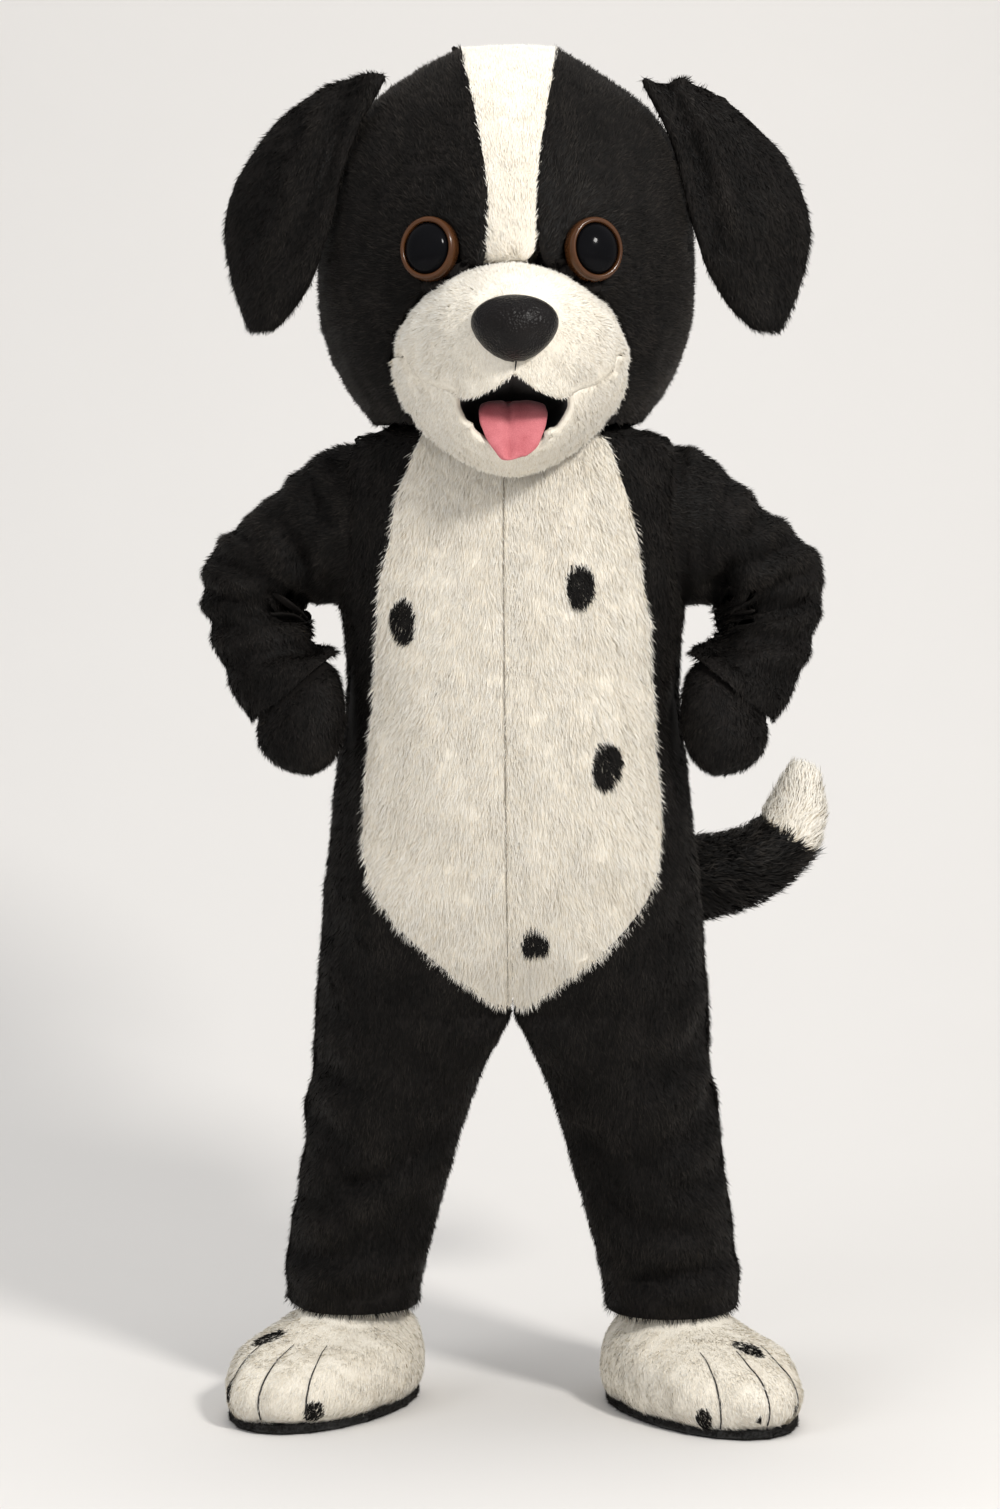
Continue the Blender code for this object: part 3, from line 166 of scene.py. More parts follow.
def addMix(tree, inputs=None, blend="MIX"):
    return addNode(tree, "Mix", inputs, data_type="RGBA", blend_type=blend)


def wire(tree, *links):
    for source, output, target, slot in links:
        tree.links.new(source.outputs[output], target.inputs[slot])


def colour(values):
    return (*values, 1.0)


def makeGroup(name, inputs, outputs):
    tree = bpy.data.node_groups.new(name, "ShaderNodeTree")
    for label, value in inputs.items():
        kind = "NodeSocketColor" if isinstance(value, tuple) else "NodeSocketFloat"
        tree.interface.new_socket(name=label, in_out="INPUT", socket_type=kind).default_value = value
    for label, kind in outputs.items():
        tree.interface.new_socket(name=label, in_out="OUTPUT", socket_type=kind)
    return tree, addNode(tree, "NodeGroupInput"), addNode(tree, "NodeGroupOutput")


def makeStrandGroup():      # across the map lies each strand's own tone, and up it root to tip, with painted shade darkening each strand towards its root
    tree, given, out = makeGroup("strandTone", {
        "Dark": colour((0.01, 0.01, 0.01)), "Middle": colour((0.02, 0.02, 0.02)),
        "Light": colour((0.05, 0.05, 0.05)), "Root": colour((0.3, 0.3, 0.3))}, {"Color": "NodeSocketColor"})
    place = addNode(tree, "UVMap", uv_map="OFBake")
    parts = addNode(tree, "SeparateXYZ")
    low = addNode(tree, "MapRange", {"From Max": 0.5})
    high = addNode(tree, "MapRange", {"From Min": 0.5})
    first, second = addMix(tree), addMix(tree)
    rise = addNode(tree, "MapRange", {"From Max": 0.75}, interpolation_type="SMOOTHSTEP")
    rootShadeMix = addMix(tree, {"B": (1, 1, 1, 1)})
    product = addMix(tree, {"Factor": 1.0}, "MULTIPLY")
    wire(tree, (place, "UV", parts, 0), (parts, 0, low, "Value"), (parts, 0, high, "Value"),
         (low, 0, first, "Factor"), (given, "Dark", first, "A"), (given, "Middle", first, "B"),
         (high, 0, second, "Factor"), (first, "Result", second, "A"), (given, "Light", second, "B"),
         (parts, 1, rise, "Value"), (rise, 0, rootShadeMix, "Factor"), (given, "Root", rootShadeMix, "A"),
         (second, "Result", product, "A"), (rootShadeMix, "Result", product, "B"), (product, "Result", out, "Color"))
    return tree


def makeGrainGroup():       # two tones in fine grain, with a height for bumps
    tree, given, out = makeGroup("clothGrain", {
        "Base": colour((0.1, 0.1, 0.1)), "Second": colour((0.2, 0.2, 0.2)), "Grain": 400.0, "Patch": 25.0,
        "Stretch": 0.35}, {"Color": "NodeSocketColor", "Height": "NodeSocketFloat"})
    place = addNode(tree, "TexCoord")
    squash = addNode(tree, "CombineXYZ", {0: 1.0, 1: 1.0})
    stretched = addNode(tree, "VectorMath", operation="MULTIPLY")
    fine = addNode(tree, "TexNoise", {"Detail": 4.0})
    broad = addNode(tree, "TexNoise", {"Detail": 3.0})
    both = addNode(tree, "Math", operation="ADD")
    spread = addNode(tree, "MapRange", {"From Min": 0.7, "From Max": 1.3})
    tone = addMix(tree)
    wire(tree, (given, "Stretch", squash, 2), (place, "Object", stretched, 0), (squash, 0, stretched, 1),
         (stretched, 0, fine, "Vector"), (given, "Grain", fine, "Scale"), (place, "Object", broad, "Vector"),
         (given, "Patch", broad, "Scale"), (fine, "Fac", both, 0), (broad, "Fac", both, 1),
         (both, 0, spread, "Value"), (spread, 0, tone, "Factor"), (given, "Base", tone, "A"),
         (given, "Second", tone, "B"), (tone, "Result", out, "Color"), (fine, "Fac", out, "Height"))
    return tree


def startMaterial(name, shader):
    material = bpy.data.materials.new(name)
    material.use_nodes = True
    tree = material.node_tree
    tree.nodes.clear()
    principled = addNode(tree, "BsdfPrincipled", shader)
    wire(tree, (principled, 0, addNode(tree, "OutputMaterial"), 0))
    return material, tree, principled


def strandMaterial(name, tones, shader):
    material, tree, principled = startMaterial(name, shader)
    values = {label: colour(tone) for label, tone in zip(("Dark", "Middle", "Light", "Root"), tones)}
    group = addNode(tree, "Group", values, node_tree=strandGroup)
    wire(tree, (group, "Color", principled, "Base Color"))
    return material


def grainMaterial(name, base, second, grain, patch, strength, shader, stretch=0.35, depth=0.002):
    material, tree, principled = startMaterial(name, shader)
    values = {"Base": colour(base), "Second": colour(second), "Grain": grain, "Patch": patch, "Stretch": stretch}
    group = addNode(tree, "Group", values, node_tree=grainGroup)
    bump = addNode(tree, "Bump", {"Strength": strength, "Distance": depth})
    wire(tree, (group, "Color", principled, "Base Color"), (group, "Height", bump, "Height"),
         (bump, "Normal", principled, "Normal"))
    return material


def pebbleMaterial(name, base, second, shader, size, strength, depth=0.0012):
    material, tree, principled = startMaterial(name, shader)
    place = addNode(tree, "TexCoord")
    cells = addNode(tree, "TexVoronoi", {"Scale": size}, feature="SMOOTH_F1")
    wear = addNode(tree, "TexNoise", {"Scale": 40.0})
    tone = addMix(tree, {"A": colour(base), "B": colour(second)})
    rough = addNode(tree, "MapRange", {"To Min": shader["Roughness"] - 0.08, "To Max": shader["Roughness"] + 0.12})
    bump = addNode(tree, "Bump", {"Strength": strength, "Distance": depth}, invert=True)
    wire(tree, (place, "Object", cells, "Vector"), (place, "Object", wear, "Vector"), (wear, "Fac", tone, "Factor"),
         (tone, "Result", principled, "Base Color"), (wear, "Fac", rough, "Value"),
         (rough, 0, principled, "Roughness"), (cells, "Distance", bump, "Height"),
         (bump, "Normal", principled, "Normal"))
    return material


strandGroup = makeStrandGroup()
grainGroup = makeGrainGroup()

pileShine = {"Roughness": 0.6, "Specular IOR Level": 0.17, "Sheen Weight": 0.05, "Sheen Roughness": 0.45,
             "Sheen Tint": (0.62, 0.54, 0.47, 1.0)}
whiteShine = {"Roughness": 0.85, "Specular IOR Level": 0.15, "Sheen Weight": 0.10, "Sheen Roughness": 0.5,
              "Sheen Tint": (1.0, 0.97, 0.9, 1.0)}
# the fourth tone of each pile is painted shade at the strand roots
blackPile = strandMaterial("blackPile", [(0.0022, 0.0020, 0.0018), (0.0062, 0.0054, 0.0046), (0.030, 0.0255, 0.0215),
                                         (0.20, 0.19, 0.18)], pileShine)
whitePile = strandMaterial("whitePile", [(0.80, 0.74, 0.63), (0.89, 0.855, 0.775), (0.96, 0.945, 0.895),
                                         (0.88, 0.82, 0.72)], whiteShine)
blackCloth = grainMaterial("blackPileGround", (0.004, 0.0035, 0.003), (0.012, 0.010, 0.009), 420.0, 22.0, 0.6,
                           {"Roughness": 0.85, "Specular IOR Level": 0.15})
whiteCloth = grainMaterial("whitePileGround", (0.74, 0.68, 0.57), (0.84, 0.79, 0.69), 420.0, 22.0, 0.6,
                           {"Roughness": 0.9, "Specular IOR Level": 0.15})
noseLeather = pebbleMaterial("noseLeather", (0.0045, 0.004, 0.004), (0.010, 0.008, 0.0075),
                             {"Roughness": 0.36, "Specular IOR Level": 0.14, "Coat Weight": 0.03,
                              "Coat Roughness": 0.25}, 340.0, 0.9, 0.0018)
tonguePlush = grainMaterial("tonguePlush", (0.42, 0.085, 0.10), (0.62, 0.19, 0.21), 900.0, 30.0, 0.35,
                            {"Roughness": 0.75, "Sheen Weight": 0.5, "Sheen Roughness": 0.4,
                             "Sheen Tint": (1.0, 0.75, 0.75, 1.0)}, 1.0, 0.001)
mouthCloth = grainMaterial("mouthCloth", (0.006, 0.004, 0.004), (0.016, 0.011, 0.010), 700.0, 30.0, 0.4,
                           {"Roughness": 0.8, "Sheen Weight": 0.1}, 1.0, 0.001)
eyeBlack = pebbleMaterial("eyeBlackGloss", (0.0025, 0.0025, 0.003), (0.005, 0.005, 0.006),
                          {"Roughness": 0.10, "Specular IOR Level": 0.04, "Coat Weight": 0.03, "Coat Roughness": 0.03},
                          60.0, 0.0)
eyeBrown = pebbleMaterial("eyeBrownGloss", (0.046, 0.017, 0.006), (0.085, 0.032, 0.010),
                          {"Roughness": 0.22, "Specular IOR Level": 0.3, "Coat Weight": 0.12,
                           "Coat Roughness": 0.05}, 60.0, 0.0)
soleRubber = grainMaterial("soleRubber", (0.008, 0.008, 0.008), (0.02, 0.02, 0.019), 300.0, 12.0, 0.5,
                           {"Roughness": 0.7}, 1.0, 0.001)
threadBlack = grainMaterial("seamThread", (0.006, 0.005, 0.005), (0.02, 0.017, 0.015), 1200.0, 40.0, 0.5,
                            {"Roughness": 0.7}, 1.0, 0.0006)
threadGrey = grainMaterial("bellyThread", (0.16, 0.14, 0.11), (0.30, 0.27, 0.22), 1200.0, 40.0, 0.5,
                           {"Roughness": 0.8}, 1.0, 0.0006)
zipTapeCloth = grainMaterial("zipTapeWeave", (0.008, 0.008, 0.008), (0.022, 0.020, 0.019), 1100.0, 30.0, 0.6,
                             {"Roughness": 0.75}, 1.0, 0.0006)
zipEnamel = pebbleMaterial("zipEnamel", (0.014, 0.014, 0.015), (0.03, 0.03, 0.031),
                           {"Roughness": 0.32, "Metallic": 0.6}, 300.0, 0.1, 0.0003)
report("materials made")


# folds and seams seen from the front or back. Each row is in millimetres: width, depth, and then the line's
# points, each as x and height over the floor

def readLines(*rows):
    rows = [[value / 1000 for value in row] for row in rows]
    return [(list(zip(row[2::2], row[3::2])), row[0], row[1]) for row in rows]


armFoldsRight = readLines(
    (12, 12, -285, 1084, -332, 1115, -362, 1142, -401, 1161),
    (10, 11, -287, 1082, -336, 1088, -381, 1098, -419, 1108),
    (10, 10, -278, 1075, -328, 1066, -372, 1066, -412, 1071), (12, 9, -267, 1044, -309, 1040, -354, 1027, -389, 1013),
    (12, 12, -275, 1095, -291, 1151, -305, 1182, -316, 1205),
    (12, 11, -261, 1095, -267, 1151, -265, 1196, -265, 1249),
    (10, 10, -282, 1088, -322, 1138, -349, 1174, -374, 1189), (11, 8, -285, 1151, -291, 1218, -312, 1248),
    (11, 8, -251, 1205, -263, 1236, -285, 1275), (8, 7, -241, 1096, -236, 1151, -236, 1232, -234, 1292),
    (14, 2, -305, 977, -345, 987, -370, 1001))
armFoldsLeft = readLines(
    (10, 12, 275, 1091, 307, 1102, 348, 1111, 391, 1134), (11, 12, 275, 1102, 302, 1134, 348, 1165, 393, 1183),
    (12, 12, 274, 1111, 294, 1151, 316, 1188, 340, 1220), (12, 11, 267, 1111, 275, 1174, 281, 1222, 287, 1264),
    (11, 10, 249, 1102, 245, 1174, 249, 1241, 258, 1279), (8, 7, 227, 1102, 222, 1174, 223, 1245, 224, 1308),
    (10, 11, 278, 1075, 325, 1084, 369, 1088, 412, 1102), (11, 9, 275, 1062, 325, 1048, 369, 1044, 404, 1048),
    (13, 9, 271, 1040, 316, 1013, 361, 1004, 389, 1000), (13, 5, 312, 977, 338, 977, 365, 980))
armBackRight = readLines(
    (13, 8, -280, 1110, -310, 1150, -350, 1180, -380, 1190), (12, 7, -280, 1080, -330, 1090, -380, 1120, -420, 1130),
    (13, 8, -270, 1050, -320, 1045, -370, 1050, -410, 1060), (13, 9, -260, 1120, -270, 1170, -290, 1230),
    (14, 6, -270, 1010, -310, 1000, -360, 1010))
armBackLeft = readLines(
    (12, 8, 280, 1120, 310, 1160, 340, 1190, 370, 1200), (13, 8, 280, 1090, 330, 1100, 380, 1110, 420, 1120),
    (12, 7, 270, 1060, 320, 1050, 370, 1060, 410, 1080), (13, 9, 250, 1120, 260, 1180, 280, 1240),
    (14, 6, 280, 1010, 320, 1000, 360, 1000))
legFolds = readLines(
    (18, 13, -283, 407, -265, 391, -230, 364, -214, 322),
    (16, 12, -259, 287, -243, 291, -197, 311, -150, 335, -103, 364, -77, 384),
    (15, 9, -230, 257, -183, 257, -143, 277, -103, 298),
    (15, 11, -294, 204, -243, 215, -197, 223, -150, 231, -110, 257), (20, 8, -254, 678, -237, 651, -217, 618),
    (24, 7, -235, 544, -197, 584, -150, 584), (15, 9, -283, 344, -254, 335, -223, 311),
    (18, 8, -267, 471, -243, 460, -217, 442), (18, 10, 271, 531, 250, 498, 223, 476, 190, 463),
    (17, 12, 279, 424, 250, 378, 217, 364, 177, 351), (16, 10, 106, 304, 150, 271, 183, 257, 237, 255),
    (13, 10, 170, 180, 203, 189, 250, 196, 310, 207), (18, 9, 90, 364, 143, 324, 183, 311, 250, 308),
    (20, 8, 237, 691, 218, 658, 183, 624), (22, 7, 261, 618, 237, 578, 190, 558),
    (14, 8, 297, 338, 266, 318, 237, 308))
legBackFolds = readLines(
    (17, 11, -280, 370, -230, 350, -170, 360, -100, 380), (15, 10, -290, 290, -230, 300, -160, 290, -100, 310),
    (18, 8, -270, 440, -210, 420, -150, 430), (15, 9, -290, 220, -220, 230, -140, 220),
    (17, 11, 280, 390, 230, 360, 160, 350, 100, 370), (15, 10, 290, 310, 240, 300, 170, 310, 110, 290),
    (18, 8, 270, 460, 220, 440, 150, 440), (15, 9, 300, 210, 230, 220, 150, 210),
    (20, 8, -210, 600, -150, 575, -80, 580), (20, 8, 210, 590, 140, 570, 70, 580),
    (24, 6, -200, 1160, -150, 1100, -80, 1070), (24, 6, 200, 1150, 140, 1100, 70, 1080),
    (24, 5, -210, 920, -140, 900, -60, 910), (24, 5, 210, 930, 150, 900, 60, 900))
sideFolds = readLines(
    (16, 4, -225, 1080, -215, 1010, -205, 940), (16, 4, 225, 1090, 212, 1010, 205, 950),
    (18, 4, -235, 800, -225, 750, -215, 710), (18, 4, 235, 820, 225, 770, 212, 720))
earFolds = readLines(
    (13, 8, -216, 1770, -246, 1690, -268, 1616, -299, 1542), (13, 7, -286, 1716, -313, 1649, -336, 1582),
    (12, 4, -329, 1676, -351, 1616, -360, 1552), (12, 9, 189, 1800, 215, 1757, 236, 1703, 252, 1629, 268, 1568),
    (13, 8, 246, 1781, 274, 1730, 295, 1676, 317, 1616), (12, 5, 299, 1757, 329, 1703, 346, 1642))
bellyFolds = readLines(
    (26, 3, -150, 1180, -90, 1165, -30, 1172), (28, 3, 140, 1010, 80, 995, 20, 1004),
    (28, 3, -150, 780, -90, 765, -30, 770), (28, 3, 130, 700, 70, 690, 20, 696))

# narrow lines that the pile is drawn down into, with painted shade along them
browLines = readLines(
    (4.2, 6, -170, 1605, -161, 1625, -152, 1639, -131, 1650, -93, 1655),
    (4.2, 6, 85, 1652, 115, 1658, 140, 1649, 158, 1632, 164, 1626))
hemLines = readLines(
    (5.5, 7, -302, 169, -250, 160, -203, 151, -133, 165), (5.5, 7, 137, 143, 183, 156, 237, 163, 277, 167, 313, 179))
bellySeam = readLines((2.2, 3, -12, 1300, -12, 1100, -9, 800, -6, 550))
smileLines = readLines(
    (6, 5, -140, 1420, -134, 1398, -112, 1380, -75, 1370), (6, 5, 134, 1412, 128, 1398, 102, 1378, 78, 1368))
philtrumLine = readLines((3, 6, 5, 1415, 2, 1388))


def lineDistance(points, line):     # nearest distance to the line in the front view, and how far along it
    knots = np.array(line, dtype=float)
    knots[:, 1] -= floorDepth
    run = np.concatenate(([0], np.cumsum(np.linalg.norm(np.diff(knots, axis=0), axis=1))))
    spots = np.linspace(0, run[-1], 4 * len(line))
    curve = np.column_stack([np.interp(spots, run, knots[:, 0]), np.interp(spots, run, knots[:, 1])])
    for _ in range(2):
        curve[1:-1] = 0.5 * curve[1:-1] + 0.25 * (curve[:-2] + curve[2:])
    flat = points[:, (0, 2)]
    best, along = np.full(len(points), 1e9), np.zeros(len(points))
    for number, (start, end) in enumerate(zip(curve[:-1], curve[1:])):
        span = end - start
        part = np.clip(((flat - start) @ span) / max(span @ span, 1e-12), 0, 1)
        far = np.linalg.norm(flat - start - part[:, None] * span, axis=1)
        nearer = far < best
        best = np.where(nearer, far, best)
        along = np.where(nearer, (number + part) / (len(curve) - 1), along)
    return best, along


foldSettings = {"spread": 1.25, "deep": 1.3, "shoulder": 0.42, "shoulderAt": 1.9, "shoulderWidth": 0.75,
                "runOut": 0.4}


def foldSink(points, normals, folds, facing, fade):     # a trough with a soft shoulder on each side
    total = np.zeros(len(points))
    seen = smooth(fade - 0.95 * facing * normals[:, 1])     # and less and less towards the side seams
    for line, width, depth in folds:
        far, along = lineDistance(points, line)
        far = far / (foldSettings["spread"] * width)
        shoulder = np.exp(-((far - foldSettings["shoulderAt"]) / foldSettings["shoulderWidth"]) ** 2)
        shape = np.exp(-far ** 2) - foldSettings["shoulder"] * shoulder
        total += foldSettings["deep"] * depth * shape * (1 - foldSettings["runOut"] * along) * seen
    return total


# limbs' middle lines

armPath = np.array([
    (183, 4, 1202), (236, 8, 1201), (260, 12, 1194.5), (283.5, 18, 1176.5), (306, 24, 1157.5), (331.5, 29, 1138.5),
    (346.5, 33, 1117.5), (350.5, 31, 1094), (348, 22, 1075.5), (343, 10, 1056.5), (334.5, -6, 1035.5),
    (321.5, -22, 1014.5), (307.5, -38, 996), (293, -50, 982), (286, -64, 960), (278.5, -78, 938), (271, -90, 914.5),
    (264, -99, 893), (258.5, -105, 879)]) / 1000 - np.array((0, 0, floorDepth))
tailPath = np.array([
    (0, 140, 712), (3, 200, 706), (24, 246, 699), (76, 272, 692), (140, 270, 688), (204, 252, 690), (264, 232, 698),
    (316, 217, 712), (358, 208, 732), (388, 205, 762), (402, 204, 798), (409, 204, 832),
    (412, 204, 858)]) / 1000 - np.array((0, 0, floorDepth))


def nearestOnPath(points, path):
    best, place, way = np.full(len(points), 1e9), np.zeros_like(points), np.zeros_like(points)
    for start, end in zip(path[:-1], path[1:]):
        span = end - start
        part = np.clip(((points - start) @ span) / (span @ span), 0, 1)
        spot = start + part[:, None] * span
        far = np.linalg.norm(points - spot, axis=1)
        nearer = far < best
        best = np.where(nearer, far, best)
        place[nearer] = spot[nearer]
        way[nearer] = span / np.linalg.norm(span)
    return place, way


def armHeart(side):
    return lambda points: nearestOnPath(points, armPath * np.array((side, 1, 1)))[0]


legSettings = {"torsoY": 0.01, "top": 0.545, "heights": (0.13, 0.516), "x": (0.218, 0.135), "leftY": (0.02, 0.01),
               "rightY": (0.05, 0.015)}


def suitHeart(points):      # the middle of the torso, and under the crotch that of each leg
    heart = np.column_stack([np.zeros(len(points)), np.full(len(points), legSettings["torsoY"]), points[:, 2]])
    height = points[:, 2] + floorDepth
    leg = height < legSettings["top"]
    x, leftY, rightY = (np.interp(height, legSettings["heights"], legSettings[key]) for key in ("x", "leftY", "rightY"))
    heart[leg, 0] = (np.sign(points[:, 0]) * x)[leg]
    heart[leg, 1] = np.where(points[:, 0] > 0, leftY, rightY)[leg]
    return heart


def fixedHeart(place):
    return lambda points: np.tile(np.array(place), (len(points), 1))


bootSettings = {"turn": 28.0, "x": 0.222, "back": {1: 0.020, -1: 0.050},
                "heights": (0.012, 0.026, 0.048, 0.072, 0.094, 0.111, 0.136),
                "lengths": (0.174, 0.187, 0.190, 0.180, 0.158, 0.112, 0.078),
                "widths": (0.104, 0.114, 0.117, 0.113, 0.105, 0.081, 0.068),
                "shifts": (0.074, 0.076, 0.075, 0.068, 0.054, 0.022, 0.002),
                "grooves": (-34.0, -2.0, 30.0), "grooveDepth": 0.0045, "grooveHalf": 3.2}


def bootLocal(points, side):        # the boot's own frame: x across, y backwards
    turn = math.radians(bootSettings["turn"]) * side
    moved = points - np.array((side * bootSettings["x"], bootSettings["back"][side], -floorDepth))
    across = moved[:, 0] * math.cos(turn) + moved[:, 1] * math.sin(turn)
    backwards = -moved[:, 0] * math.sin(turn) + moved[:, 1] * math.cos(turn)
    return across, backwards, moved[:, 2]


def bootSize(height, key):
    return np.interp(height, bootSettings["heights"], bootSettings[key])


def bootHeart(side):
    def heart(points):
        height = bootLocal(points, side)[2]
        turn = math.radians(bootSettings["turn"]) * side
        back = -bootSize(height, "shifts")
        return np.column_stack([side * bootSettings["x"] - back * math.sin(turn),
                                bootSettings["back"][side] + back * math.cos(turn),
                                np.minimum(height, 0.05) - floorDepth])
    return heart


def toeSink(points, side):      # the pile is drawn in along each seam between two toes
    across, backwards, height = bootLocal(points, side)
    angle = np.degrees(np.arctan2(across / bootSize(height, "widths"),
                                  -(backwards + bootSize(height, "shifts")) / bootSize(height, "lengths")))
    level = smooth((height - 0.006) / 0.02) * smooth((0.112 - height) / 0.03)
    total = np.zeros(len(points))
    for groove in bootSettings["grooves"]:
        total += bootSettings["grooveDepth"] * level * np.exp(
            -((angle - groove * side) / bootSettings["grooveHalf"]) ** 2)
    return total


# cloth skins, taken from the outer faces of the solids

quadLimits = {"face_threshold": 0.6, "shape_threshold": 0.9}


edgeSettings = {"mouth": (0.0, -0.262, -0.165), "mouthReach": 0.075, "mouthFront": -0.14, "mouthRounds": 12,
                "tipReach": 0.045, "tipRounds": 8, "tipFactor": 0.6}


def evenEdges(work, settings):      # an even lip round the mouth, and soft tops on the ears
    if settings["lips"]:
        middle = headPoint(*edgeSettings["mouth"])
        for _ in range(edgeSettings["mouthRounds"]):
            moved = {}
            for vertex in work.verts:
                rim = [edge for edge in vertex.link_edges if edge.is_boundary]
                far = math.hypot(vertex.co.x - middle.x, vertex.co.z - middle.z)
                if len(rim) == 2 and far < edgeSettings["mouthReach"] and vertex.co.y < edgeSettings["mouthFront"]:
                    ends = [edge.other_vert(vertex).co for edge in rim]
                    moved[vertex] = 0.5 * vertex.co + 0.25 * (ends[0] + ends[1])
            for vertex, place in moved.items():
                vertex.co = place
    if settings["roundTip"]:
        tip = Vector(settings["roundTip"])
        near = [vertex for vertex in work.verts if (vertex.co - tip).length < edgeSettings["tipReach"]]
        for _ in range(edgeSettings["tipRounds"]):
            bmesh.ops.smooth_vert(work, verts=near, factor=edgeSettings["tipFactor"], use_axis_x=True,
                                  use_axis_y=True, use_axis_z=True)


def makeSkin(name, node, settings):
    mesh = cadNodes[node].data.copy()
    skin = addObject(name, mesh)
    work = bmesh.new()
    work.from_mesh(mesh)
    bmesh.ops.remove_doubles(work, verts=work.verts, dist=2e-5)
    tree = BVHTree.FromBMesh(work)
    faces = list(work.faces)
    middles = np.array([face.calc_center_median() for face in faces])
    outwards = np.array([face.normal for face in faces])
    if settings["partner"]:      # solid pieces lose only the faces where they meet their partner
        partner = bvhOf([settings["partner"]])
        drop = [face for face, middle in zip(faces, middles)
                if partner.find_nearest(Vector(middle), 0.0012)[0] is not None]
    else:
        facing = ((middles - settings["heart"](middles)) * outwards).sum(1) > 0
        drop = [face for face, middle, outward, good in zip(faces, middles, outwards, facing) if not good
                or tree.ray_cast(Vector(middle - outward * 1e-4), Vector(-outward), settings["wall"] * 2.4)[0] is None]
    bmesh.ops.delete(work, geom=drop, context="FACES")
    evenEdges(work, settings)
    work.to_mesh(mesh)
    work.free()
    mesh.materials.clear()
    for layer in list(mesh.uv_layers):
        mesh.uv_layers.remove(layer)
    editAll(skin, tris_convert_to_quads=quadLimits)
    applyModifier(skin, "SUBSURF", levels=settings["levels"], render_levels=settings["levels"])
    mesh = skin.data
    mesh.shade_smooth()
    points, normals = readPoints(mesh), readNormals(mesh)
    shift = -np.full(len(points), settings["inset"])
    shift -= foldSink(points, normals, settings["folds"], 1, settings["fade"])
    shift -= foldSink(points, normals, settings["backFolds"], -1, settings["fade"])
    shift += settings["uneven"] * softNoise(points, 0.11, 3)
    shift += 0.5 * settings["uneven"] * softNoise(points, 0.045, 4)
    if settings["toes"]:
        shift -= toeSink(points, settings["toes"])
    points = points + normals * np.minimum(shift, 0.001)[:, None]
    if settings["warp"]:
        points = settings["warp"](points)
    writePoints(mesh, points)
    mesh.calc_loop_triangles()
    corners = np.empty(len(mesh.loop_triangles) * 3, dtype=np.int32)
    mesh.loop_triangles.foreach_get("vertices", corners)
    shell = {"points": readPoints(mesh), "normals": readNormals(mesh), "corners": corners.reshape(-1, 3)}
    edges = shell["points"][shell["corners"]]
    shell["areas"] = np.linalg.norm(np.cross(edges[:, 1] - edges[:, 0], edges[:, 2] - edges[:, 0]), axis=1) / 2
    if not settings["partner"]:
        applyModifier(skin, "SOLIDIFY", thickness=settings["thick"], offset=-1.0)
    skin.data.materials.append(settings["cloth"])
    fasten(skin, node)
    report(f"{name}: {len(skin.data.polygons)} faces, {shell['areas'].sum():.3f} m2")
    return skin, shell


def bvhOf(names):
    points, faces = [], []
    for name in names:
        mesh = cadNodes[name].data
        start = len(points)
        points += [vertex.co.copy() for vertex in mesh.vertices]
        faces += [[start + index for index in face.vertices] for face in mesh.polygons]
    return BVHTree.FromPolygons(points, faces)


clearOfSkin = 0.0035        # a ray starts this far over the skin, so that it misses its own solid


def coveredPoints(shell, node, reach):      # 1 where another solid lies close over the skin
    own = {node}.union(*(group for group in neighbours if node in group))
    tree = bvhOf([name for name in cadNodes if name not in own])
    covered = np.zeros(len(shell["points"]))
    for number, (point, normal) in enumerate(zip(shell["points"], shell["normals"])):
        start = Vector(point + normal * clearOfSkin)
        place, facing = tree.ray_cast(start, Vector(normal), reach)[:2]
        if place is not None and facing.dot(Vector(normal)) < 0:
            covered[number] = 1
    return covered


# pieces that meet at a seam, and so don't cover each other
neighbours = [{"back_left", "back_right", "front_left", "front_right", "belly_left", "belly_right"},
              {"head_left", "head_right", "blaze", "muzzle", "jaw"}, {"ear_front_left", "ear_back_left"},
              {"ear_front_right", "ear_back_right"}, {"tail", "tail_tip"}]
eyeSettings = {"x": 0.107, "y": -0.2065, "z": 0.034, "tilt": -4.0, "turn": 22.0, "halfWidth": 0.0375,
               "halfHeight": 0.0415, "steps": 72}


def eyePlace(side):
    return headPlace @ Matrix.Translation((side * eyeSettings["x"], eyeSettings["y"], eyeSettings["z"])) @ Euler(
        (math.radians(eyeSettings["tilt"]), 0, math.radians(eyeSettings["turn"] * side))).to_matrix().to_4x4()


def clearOfEyes(points, margin):
    clear = np.ones(len(points), dtype=bool)
    for side in (1, -1):
        back = np.array(eyePlace(side).inverted())
        local = points @ back[:3, :3].T + back[:3, 3]
        inside = (local[:, 0] / (eyeSettings["halfWidth"] + margin)) ** 2 \
            + (local[:, 2] / (eyeSettings["halfHeight"] + margin)) ** 2 < 1
        clear &= ~(inside & (np.abs(local[:, 1]) < 0.04))
    return clear


# pile


def sowRoots(shell, node, settings, dice):
    covered = coveredPoints(shell, node, settings["cover"])
    total = int(shell["areas"].sum() * 1e4 * settings["density"] * (1.0))
    sums = np.cumsum(shell["areas"])
    chosen = np.searchsorted(sums, (np.arange(total) + dice.random(total)) / total * sums[-1])
    corners = shell["corners"][np.minimum(chosen, len(sums) - 1)]
    first, second = dice.random(total), dice.random(total)
    flip = first + second > 1
    first[flip], second[flip] = 1 - first[flip], 1 - second[flip]
    parts = np.column_stack([1 - first - second, first, second])
    roots = (shell["points"][corners] * parts[:, :, None]).sum(1)
    normals = unit((shell["normals"][corners] * parts[:, :, None]).sum(1))
    keep = (covered[corners] * parts).sum(1) < 0.5
    if settings["keep"]:
        keep &= settings["keep"](roots)
    return roots[keep], normals[keep]


